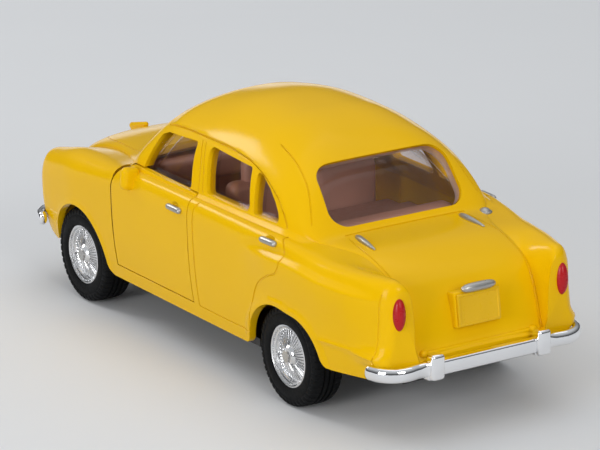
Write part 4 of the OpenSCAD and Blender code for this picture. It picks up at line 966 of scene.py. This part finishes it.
# front doors with mirror and hinge knuckle
door = {"thick": 1.3, "rows": 26, "stations": 70, "over": 1, "lip": 0.8, "knuckle": 6.4, "knuckleRound": 1.15,
        "knuckleEdge": 0.15, "web": 1.6, "webDeep": 2.0, "midZ": 20.4, "pin": 0.66, "mirror": (19.4, 28.1),
        "mirrorIn": 1.2, "mirrorRound": 1.05,
        "mirrorSpots": [(0.3, -1.2), (0.6, 1.2), (2.0, 1.4), (2.3, -0.6)]}


def buildDoor(d):
    x0, x1 = body["doorRear"] - d["over"], body["doorFront"] + d["over"]
    rings = []
    for i in range(d["stations"] + 1):
        x = x0 + (x1 - x0) * i / d["stations"]
        top = lineAt("valleyY", x)
        outer, inner = [lowSection(x, inset, d["rows"]) + [[top - inset, body["belt"] + d["lip"]]]
                        for inset in (0, d["thick"])]
        rings.append([(x, y, z) for y, z in outer + inner[::-1]])
    panel = loft("leftDoor", rings)
    carve(panel, [sidePrism("doorCut", doorOutline(0), 10)], "INTERSECT")
    mx, mz = d["mirror"]
    my = skinSide(mx, mz) - d["mirrorIn"]
    hx, hy = body["hinge"]
    pivot, half, wide = (hx, hy, d["midZ"]), d["knuckle"] / 2, d["web"] / 2
    r, edge = d["knuckleRound"], d["knuckleEdge"]
    mirror = hullOfBalls("mirror", [(mx, my + y, mz + z, d["mirrorRound"]) for y, z in d["mirrorSpots"]])
    web = softBlock("web", (hx - wide, hy, d["midZ"] - half),
                    (hx + wide, hy + d["webDeep"], d["midZ"] + half), edge)
    knuckle = spun("knuckle", [(0, -half), (r - edge, -half), (r, edge - half), (r, half - edge),
                               (r - edge, half), (0, half)], pivot, (0, 0, 1), 40)
    weld(panel, [mirror, web, knuckle])
    carve(panel, [rod("bore", d["pin"], -20, 20, pivot), scoop(*body["frontHandle"])])
    smooth(panel)
    return panel


leftDoor = buildDoor(door)
for piece, side in ((leftDoor, "left"), (mirrored(leftDoor, "rightDoor"), "right")):
    keep(piece, side + "_door", side + "_door", "yellowPlastic")
print("doors:", len(leftDoor.data.polygons), "faces each")


# glazing: one clear moulding inside the cabin, its panes standing into the openings
glazing = {"skin": 0.55, "outer": 1.9, "inner": 2.8, "ends": (-31.2, 24.4), "room": 0.12, "pitch": 0.8,
           "past": (3, 6)}


def buildGlazing(g):
    x0, x1 = g["ends"]
    short, long = g["past"]
    glass = cabinSolid("windowGlazing", g["outer"], x0, x1, g["pitch"], 36)
    panes = cabinSolid("panes", g["skin"], x0 - short, x1 + short, g["pitch"], 40)
    openings = windowTools(g["room"])
    for piece in [glass, panes] + openings:
        piece.data.materials.clear()
        piece.data.materials.append(looks["clearPlastic"])
        piece.data.materials.append(looks["paneEdgePaintedSheen"])
        # the back window's cut edges take the painted sheen, all other faces the clear plastic
        for face in piece.data.polygons:
            face.material_index = 1 if piece.name == "backCut" else 0
    pieces = []
    for tool in openings:
        pane = copied(panes)
        carve(pane, [tool], "INTERSECT")
        pieces.append(pane)
    discard(panes)
    weld(glass, pieces)
    carve(glass, [cabinSolid("hollow", g["inner"], x0 - long, x1 + long, g["pitch"], 36)])
    smooth(glass)
    return glass


glass = buildGlazing(glazing)
keep(glass, "car", "window_glazing")
print("glazing:", len(glass.data.polygons), "faces")


# wheels
wheel = {"face": 20.8, "back": 16.0, "rim": 5.5, "bore": 1.01, "ribs": 40, "wire": 0.14, "ears": (50, 230),
         "earSpots": ((1.4, 0.3, 0.36), (1.5, -0.1, 0.36), (2.7, 0.2, 0.28)), "tyreFace": 21.2,
         "tyreWide": 6.0, "blocks": 44, "blockParts": ((0.0, 0), (0.60, 0), (0.68, 1), (0.92, 1)),
         "notch": 0.13, "shoulder": (7.7, 1.3)}


def buildHub(name, w):
    # axis along y through the origin, outer face towards +y: lip, step, ribbed dish, boss and two-eared nut
    f, b, r = w["face"], w["back"], w["rim"]
    rim = spun(name, [(w["bore"], b), (r, b), (r, f - 0.15), (r - 0.12, f + 0.12), (r - 0.34, f + 0.18),
                      (r - 0.52, f + 0.06), (r - 0.62, f - 0.3), (r - 0.86, f - 0.38), (r - 0.95, f - 0.75),
                      (r - 1.15, f - 1.0), (r - 1.5, f - 0.92), (1.95, f - 0.3), (1.85, f - 0.05),
                      (1.62, f + 0.1), (1.5, f + 0.28), (1.2, f + 0.36), (w["bore"], f + 0.36)],
               (0, 0, 0), (0, 1, 0), 96)
    extras = []
    for i in range(w["ribs"]):
        a = 2 * math.pi * i / w["ribs"]
        ends = ((1.9, f - 0.27), (r - 1.02, f - 0.95))
        extras.append(tube("rib", [(d * math.cos(a), y, d * math.sin(a)) for d, y in ends], w["wire"]))
    for turn in w["ears"]:
        a = math.radians(turn)
        extras.append(hullOfBalls("ear", [(d * math.cos(a), f + h, d * math.sin(a), size)
                                          for d, h, size in w["earSpots"]]))
    hub = joined(name, [rim] + extras)
    smooth(hub, 40)
    return hub


def buildTyre(name, w):
    # tread blocks are notched into both shoulders
    h = w["tyreWide"] / 2
    profile = [(5.52, -h + 0.2), (5.9, -h + 0.02), (6.5, -h), (7.1, -h + 0.03), (7.35, -h + 0.14),
               (7.6, -h + 0.05), (8.1, -h + 0.1), (8.45, -h + 0.28), (8.66, -h + 0.62), (8.76, -h + 1.1),
               (8.8, -h + 1.75), (8.5, -h + 1.85), (8.5, -h + 2.15), (8.8, -h + 2.25), (8.8, -0.2),
               (8.5, -0.14)]
    loop = profile + [(r, -y) for r, y in profile[::-1]]
    rings = []
    for i in range(w["blocks"]):
        for part, low in w["blockParts"]:
            a = 2 * math.pi * (i + part) / w["blocks"]
            ring = []
            for r, y in loop:
                cut = w["notch"] if low and r > w["shoulder"][0] and abs(y) > w["shoulder"][1] else 0
                r -= cut
                y -= math.copysign(cut * 0.6 * step(2.2, 2.9, abs(y)), y)
                ring.append((r * math.cos(a), y + w["tyreFace"] - h, r * math.sin(a)))
            rings.append(ring)
    tyre = loft(name, rings, True)
    smooth(tyre, 34)
    return tyre


def placeWheel(piece, x, side):
    # outer face to +y on the left, -y on the right
    hold(piece)
    if side < 0:
        piece.rotation_euler = (0, 0, math.pi)
    piece.location = (x / 1000, 0, body["axleZ"] / 1000)
    settle(piece)


hubMaster = buildHub("hubMaster", wheel)
tyreMaster = buildTyre("tyreMaster", wheel)
for end, x in (("front", body["frontAxle"]), ("rear", body["rearAxle"])):
    for side, sign in (("left", 1), ("right", -1)):
        for master, kind, look, slotName in ((hubMaster, "hub", "hubPlate", "chrome"),
                                             (tyreMaster, "tyre", "blackRubber", "tyre")):
            piece = copied(master)
            piece.name = end + side.capitalize() + kind.capitalize()
            placeWheel(piece, x, sign)
            keep(piece, end + "_wheels", end + "_" + side + "_" + kind, look)
discard(hubMaster, tyreMaster)
print("wheels are on their axles")


# bumpers: bar with a straight middle, wrapped ends, flat overriders and two stems
bumper = {"z": 12.6, "height": 2.5, "thick": 1.7, "endPlane": 59.0, "barIn": 1.45, "bend": 4.4,
          "bendTurn": 76, "bendSteps": 14, "midSteps": 60, "runOn": (0.45, 0.9), "sides": 24, "dip": 0.35,
          "dipBand": (0.6, 1.6, 2.4, 5.0), "softBand": (0.8, 3.2),
          "caps": ((0.3, 0.95), (0.55, 0.82), (0.72, 0.6), (0.8, 0.3)), "overriderY": 10.6,
          "overriderX": (0.02, 2.3), "overriderZ": (-1.8, 2.6), "overriderHalf": 1.3,
          "stemX": (1.0, 8.5), "stemZ": (10.8, 11.8), "stemHalf": 1.4}


def barSection(b, out, p, scale=1.0, soft=0.0):
    # flat-faced bar in the middle that turns into a round one at the ends
    t, h = b["thick"] / 2 * scale, b["height"] / 2 * scale
    power = 0.36 + 0.5 * soft
    ring = []
    for i in range(b["sides"]):
        a = 2 * math.pi * (i + 0.5) / b["sides"]
        u, v = [math.copysign(abs(c) ** power, c) for c in (math.cos(a), math.sin(a))]
        ring.append(tuple(p + out * u * t + Vector((0, 0, v * h))))
    return ring


def wrappedEnd(b, x, straight, side):
    # from the straight middle round the corner and a little on
    path = []
    for i in range(b["bendSteps"] + 1):
        t = math.radians(b["bendTurn"]) * i / b["bendSteps"]
        place = (x + b["bend"] * (1 - math.cos(t)), side * (straight + b["bend"] * math.sin(t)), b["z"])
        path.append((Vector(place), Vector((-math.cos(t), side * math.sin(t), 0))))
    last, out = path[-1]
    heading = (last - path[-2][0]).normalized()
    return path + [(last + heading * d, out) for d in b["runOn"]]


def roundCap(b, end, before):
    p, out = end
    heading = (p - before[0]).normalized()
    return [barSection(b, out, p + heading * d, scale, 1.0) for d, scale in b["caps"]]


def buildBumper(name, b, half, end):
    # end is -1 at the tail, 1 at the nose; modelled for the tail and turned for the nose
    plane = -b["endPlane"]
    x = plane + b["barIn"]
    straight = half - b["thick"] / 2 - b["bend"]
    middle = [(Vector((x, straight * (2 * i / b["midSteps"] - 1), b["z"])), Vector((-1, 0, 0)))
              for i in range(1, b["midSteps"])]
    path = wrappedEnd(b, x, straight, -1)[::-1] + middle + wrappedEnd(b, x, straight, 1)
    rings = []
    for p, out in path:
        # the bar sinks a little beside the overrider
        beside = abs(p.y) - b["overriderY"]
        dip = b["dip"] * between(*b["dipBand"], beside)
        rings.append(barSection(b, out, p - out * dip, 1.0, step(*b["softBand"], beside)))
    bar = loft(name, roundCap(b, path[0], path[1])[::-1] + rings + roundCap(b, path[-1], path[-2]))
    extras = []
    for y in (-b["overriderY"], b["overriderY"]):
        for kind, up, edge, segments in (("overrider", b["z"], 0.55, 4), ("stem", 0, 0.12, 2)):
            (x0, x1), (z0, z1), wide = b[kind + "X"], b[kind + "Z"], b[kind + "Half"]
            low, high = (plane + x0, y - wide, up + z0), (plane + x1, y + wide, up + z1)
            extras.append(softBlock(kind, low, high, edge, segments))
    weld(bar, extras)
    if end > 0:
        bar.rotation_euler = (0, 0, math.pi)
        settle(bar)
    smooth(bar, 36)
    return bar


for end, half, sign in (("rear", 21.0, -1), ("front", 22.5, 1)):
    keep(buildBumper(end + "Bumper", bumper, half, sign), "car", end + "_bumper", "chromePlate")
print("bumpers are made")


# small trim
trim = {"handle": {"long": 4.6, "round": 0.55, "peg": 0.42}, "tail": (-55.75, 16.2, 22.3, 1.15, 2.8),
        "hinge": {"x": -38.0, "y": 10.7, "long": 6.6, "round": 0.56, "slope": (-41.4, -34.4), "turn": -5},
        "fuelCap": {"round": 1.3, "shift": 0.7}}


def paired(left, angle):
    # one piece made of the left one and its twin
    both = joined(left.name, [left, mirrored(left, "twin")])
    smooth(both, angle)
    return both


def capsule(name, centre, axis, long, r):
    e = long / 2
    half = [(0, -e), (0.42 * r, 0.06 * r - e), (0.72 * r, 0.3 * r - e), (0.93 * r, 0.75 * r - e),
            (r, 1.5 * r - e)]
    return spun(name, half + [(a, -h) for a, h in half[::-1]], centre, axis, 32)


def buildHandle(name, x, z, h):
    y = skinSide(x, z)
    slope = (skinSide(x + 2, z) - skinSide(x - 2, z)) / 4
    bar = capsule(name, (x, y + 0.2, z), (1, slope, 0), h["long"], h["round"])
    for s in (-1, 1):
        px = x + s * (h["long"] / 2 - 0.9)
        weld(bar, [rod("peg", h["peg"], -0.9, 0.2, (px, skinSide(px, z), z), (0, 1, 0), 20)])
    smooth(bar, 40)
    return bar


leftHandle = buildHandle("leftDoorHandle", *body["frontHandle"], trim["handle"])
keep(leftHandle, "left_door", "left_door_handle", "silverPaint")
keep(mirrored(leftHandle, "rightDoorHandle"), "right_door", "right_door_handle", "silverPaint")
rearHandle = buildHandle("rearDoorHandles", *body["rearHandle"], trim["handle"])
rearHandle = joined("rearDoorHandles", [rearHandle, mirrored(rearHandle, "twin")])
keep(rearHandle, "car", "rear_door_handles", "silverPaint")


def buildTailLamps(t):
    x, y, z, r, h = t
    turns = [math.radians(-90 + 180 * i / 28) for i in range(29)]
    profile = [(max(0, r * math.cos(a)), h * math.sin(a)) for a in turns]
    return paired(spun("tailLamps", profile, (x, y, z), (0, 0, 1), 48), 50)


def buildBootHinges(h):
    rear, front = h["slope"]
    rise = math.atan2(lineAt("topLine", front) - lineAt("topLine", rear), front - rear)
    turn = math.radians(h["turn"])
    axis = Vector((math.cos(rise) * math.cos(turn), math.cos(rise) * math.sin(turn), math.sin(rise)))
    z = skinTop(h["x"], h["y"]) + 0.12
    r, e = h["round"], h["long"] / 2
    profile = [(0, -e), (0.16, 0.2 - e), (0.28, 1.0 - e), (0.4, 2.0 - e), (0.5, 3.0 - e), (r - 0.02, 3.9 - e),
               (r, e - 1.6), (r - 0.04, e - 0.9), (r - 0.16, e - 0.4), (r - 0.34, e - 0.1), (0, e)]
    return paired(spun("bootHinges", profile, (h["x"], h["y"], z), axis, 32), 40)


keep(buildTailLamps(trim["tail"]), "car", "tail_lamps", "redPlastic")
keep(buildBootHinges(trim["hinge"]), "car", "boot_hinges", "silverPaint")
print("handles, lamps and hinges are made")


# number plate, its lamp and the fuel cap
def nodeBox(node):
    low, high = [Vector(corner) * 1000 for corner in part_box(node)]
    return low, high, (low + high) / 2


def buildPlate(p):
    low, high = nodeBox("number_plate")[:2]
    sheet = softBlock("numberPlate", low, high, p["edge"], 2)
    # only the outer face is sunk
    bpy.ops.object.mode_set(mode="EDIT")
    bpy.ops.mesh.select_mode(type="FACE")
    bpy.ops.mesh.select_all(action="DESELECT")
    editDone()
    for face in sheet.data.polygons:
        face.select = face.normal.x < -0.99
    bpy.ops.object.mode_set(mode="EDIT")
    bpy.ops.mesh.inset(thickness=p["rim"] / 1000, depth=0)
    bpy.ops.mesh.inset(thickness=p["slope"] / 1000, depth=-p["deep"] / 1000)
    editDone()
    tilted(sheet, p["tilt"], (low.x, 0, low.z))
    smooth(sheet, 25)
    return sheet


def buildPlateLamp():
    low, high, mid = nodeBox("plate_lamp")
    e, r = (high.y - low.y) / 2, (high.z - low.z) / 2
    half = [(0, -e), (0.3 * r, 0.08 - e), (0.62 * r, 0.35 - e), (0.85 * r, 0.9 - e), (0.97 * r, 1.7 - e),
            (r, 2.4 - e)]
    lamp = spun("plateLamp", half + [(a, -h) for a, h in half[::-1]], mid, (0, 1, 0), 40)
    smooth(lamp, 40)
    return lamp


def buildFuelCap(c):
    low, high, mid = nodeBox("fuel_cap")
    r, h = c["round"], high.z - low.z
    profile = [(0, 0), (r - 0.1, 0), (r, 0.12), (r, h - 0.75), (r - 0.1, h - 0.62), (r - 0.32, h - 0.55),
               (r - 0.4, h - 0.4), (r - 0.62, h - 0.2), (r - 1.0, h - 0.06), (0, h)]
    cap = spun("fuelCap", profile, (mid.x + c["shift"], mid.y + c["shift"], low.z), (0, 0, 1), 48)
    smooth(cap, 34)
    return cap


keep(buildPlate(plate), "car", "number_plate", "plateYellow")
keep(buildPlateLamp(), "car", "plate_lamp", "silverPaint")
keep(buildFuelCap(trim["fuelCap"]), "car", "fuel_cap", "silverPaint")
print("plate, plate lamp and fuel cap are made")


# cabin moulding: floor, motor cover, seats, dashboard and hinge lugs
# each block: two corners, rounding of its edges and the steps of that; the seats are there twice
cabin = {"blocks": {"floor": ((-5.31, -16.8, 8.2), (29.4, 16.8, 9.4), 0.3, 2),
                    "riser": ((-5.31, -16.5, 8.2), (-4.11, 16.5, 23.58), 0.3, 2),
                    "cover": ((-28.8, -16.5, 22.38), (-4.11, 16.5, 23.58), 0.3, 2),
                    "bench": ((-24.8, -15.9, 23.4), (-11.8, 15.9, 25.18), 0.75, 4),
                    "benchBack": ((-28.8, -14.1, 23.4), (-24.8, 14.1, 29.05), 1.1, 5),
                    "dash": ((20.8, -14.3, 24.6), (29.6, 14.3, 29.0), 1.3, 5),
                    "bulkhead": ((29.4, -14.0, 8.2), (30.6, 14.0, 27.0), 0.3, 2)},
         "seats": {"seat": ((-3.4, 2.2, 9.2), (9.6, 15.0, 15.8), 1.5, 5),
                   "seatBack": ((-3.4, 2.2, 9.2), (0.2, 15.0, 31.2), 1.5, 5),
                   "headrest": ((-2.8, 5.2, 30.0), (-0.4, 12.0, 35.0), 1.1, 5)},
         "lugZ": (15.2, 23.8), "lugHigh": 1.8, "lugInner": 11.6, "lugRound": 1.15, "lugFoot": 2.4,
         "footEnd": 30.6, "lugEdge": (0.12, 2), "bore": 0.62, "boreZ": 20.4}


def sideBlock(name, s, low, high, width, segments):
    # s is 1 on the left and -1 on the right
    (x0, y0, z0), (x1, y1, z1) = low, high
    y0, y1 = sorted((s * y0, s * y1))
    return softBlock(name, (x0, y0, z0), (x1, y1, z1), width, segments)


def buildCabin(c):
    parts = [softBlock(name, *block) for name, block in c["blocks"].items()]
    hx, hy = body["hinge"]
    r, inner, foot = c["lugRound"], c["lugInner"], c["lugInner"] + c["lugFoot"]
    for s in (-1, 1):
        parts += [sideBlock(name, s, *block) for name, block in c["seats"].items()]
        for z in c["lugZ"]:
            low, top = (hx - r, inner, z), z + c["lugHigh"]
            parts += [sideBlock("lugArm", s, low, (hx + r, hy, top), *c["lugEdge"]),
                      sideBlock("lugFoot", s, low, (c["footEnd"], foot, top), *c["lugEdge"]),
                      rod("lugEye", r, 0, c["lugHigh"], (hx, s * hy, z))]
    whole = parts[0]
    whole.name = "interiorTub"
    weld(whole, parts[1:])
    carve(whole, [rod("pinBore", c["bore"], -12, 12, (hx, s * hy, c["boreZ"])) for s in (-1, 1)])
    smooth(whole, 34)
    return whole


keep(buildCabin(cabin), "car", "interior_tub", "brownPlastic")
print("cabin is furnished")


# CAD pieces that keep their shape
kept = {"blackPlastic": ["chassis_base"], "chromePlate": ["front_grille", "headlamp_bezels"],
        "lampLens": ["headlamp_lenses"], "amberPlastic": ["side_lamps"],
        "brightSteel": ["door_hinge_pins", "base_screws", "idler_shaft", "spring_arbor", "front_axle",
                        "rear_axle", "mainspring"],
        "greyPlastic": ["motor_case_left", "motor_case_right"], "brownPlastic": ["steering_wheel"],
        "whiteNylon": ["axle_pinion", "idler_gear", "spring_barrel"]}
for look, names in kept.items():
    for node in names:
        dress(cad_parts[node], look)
print("CAD pieces dressed:", sum(len(names) for names in kept.values()))
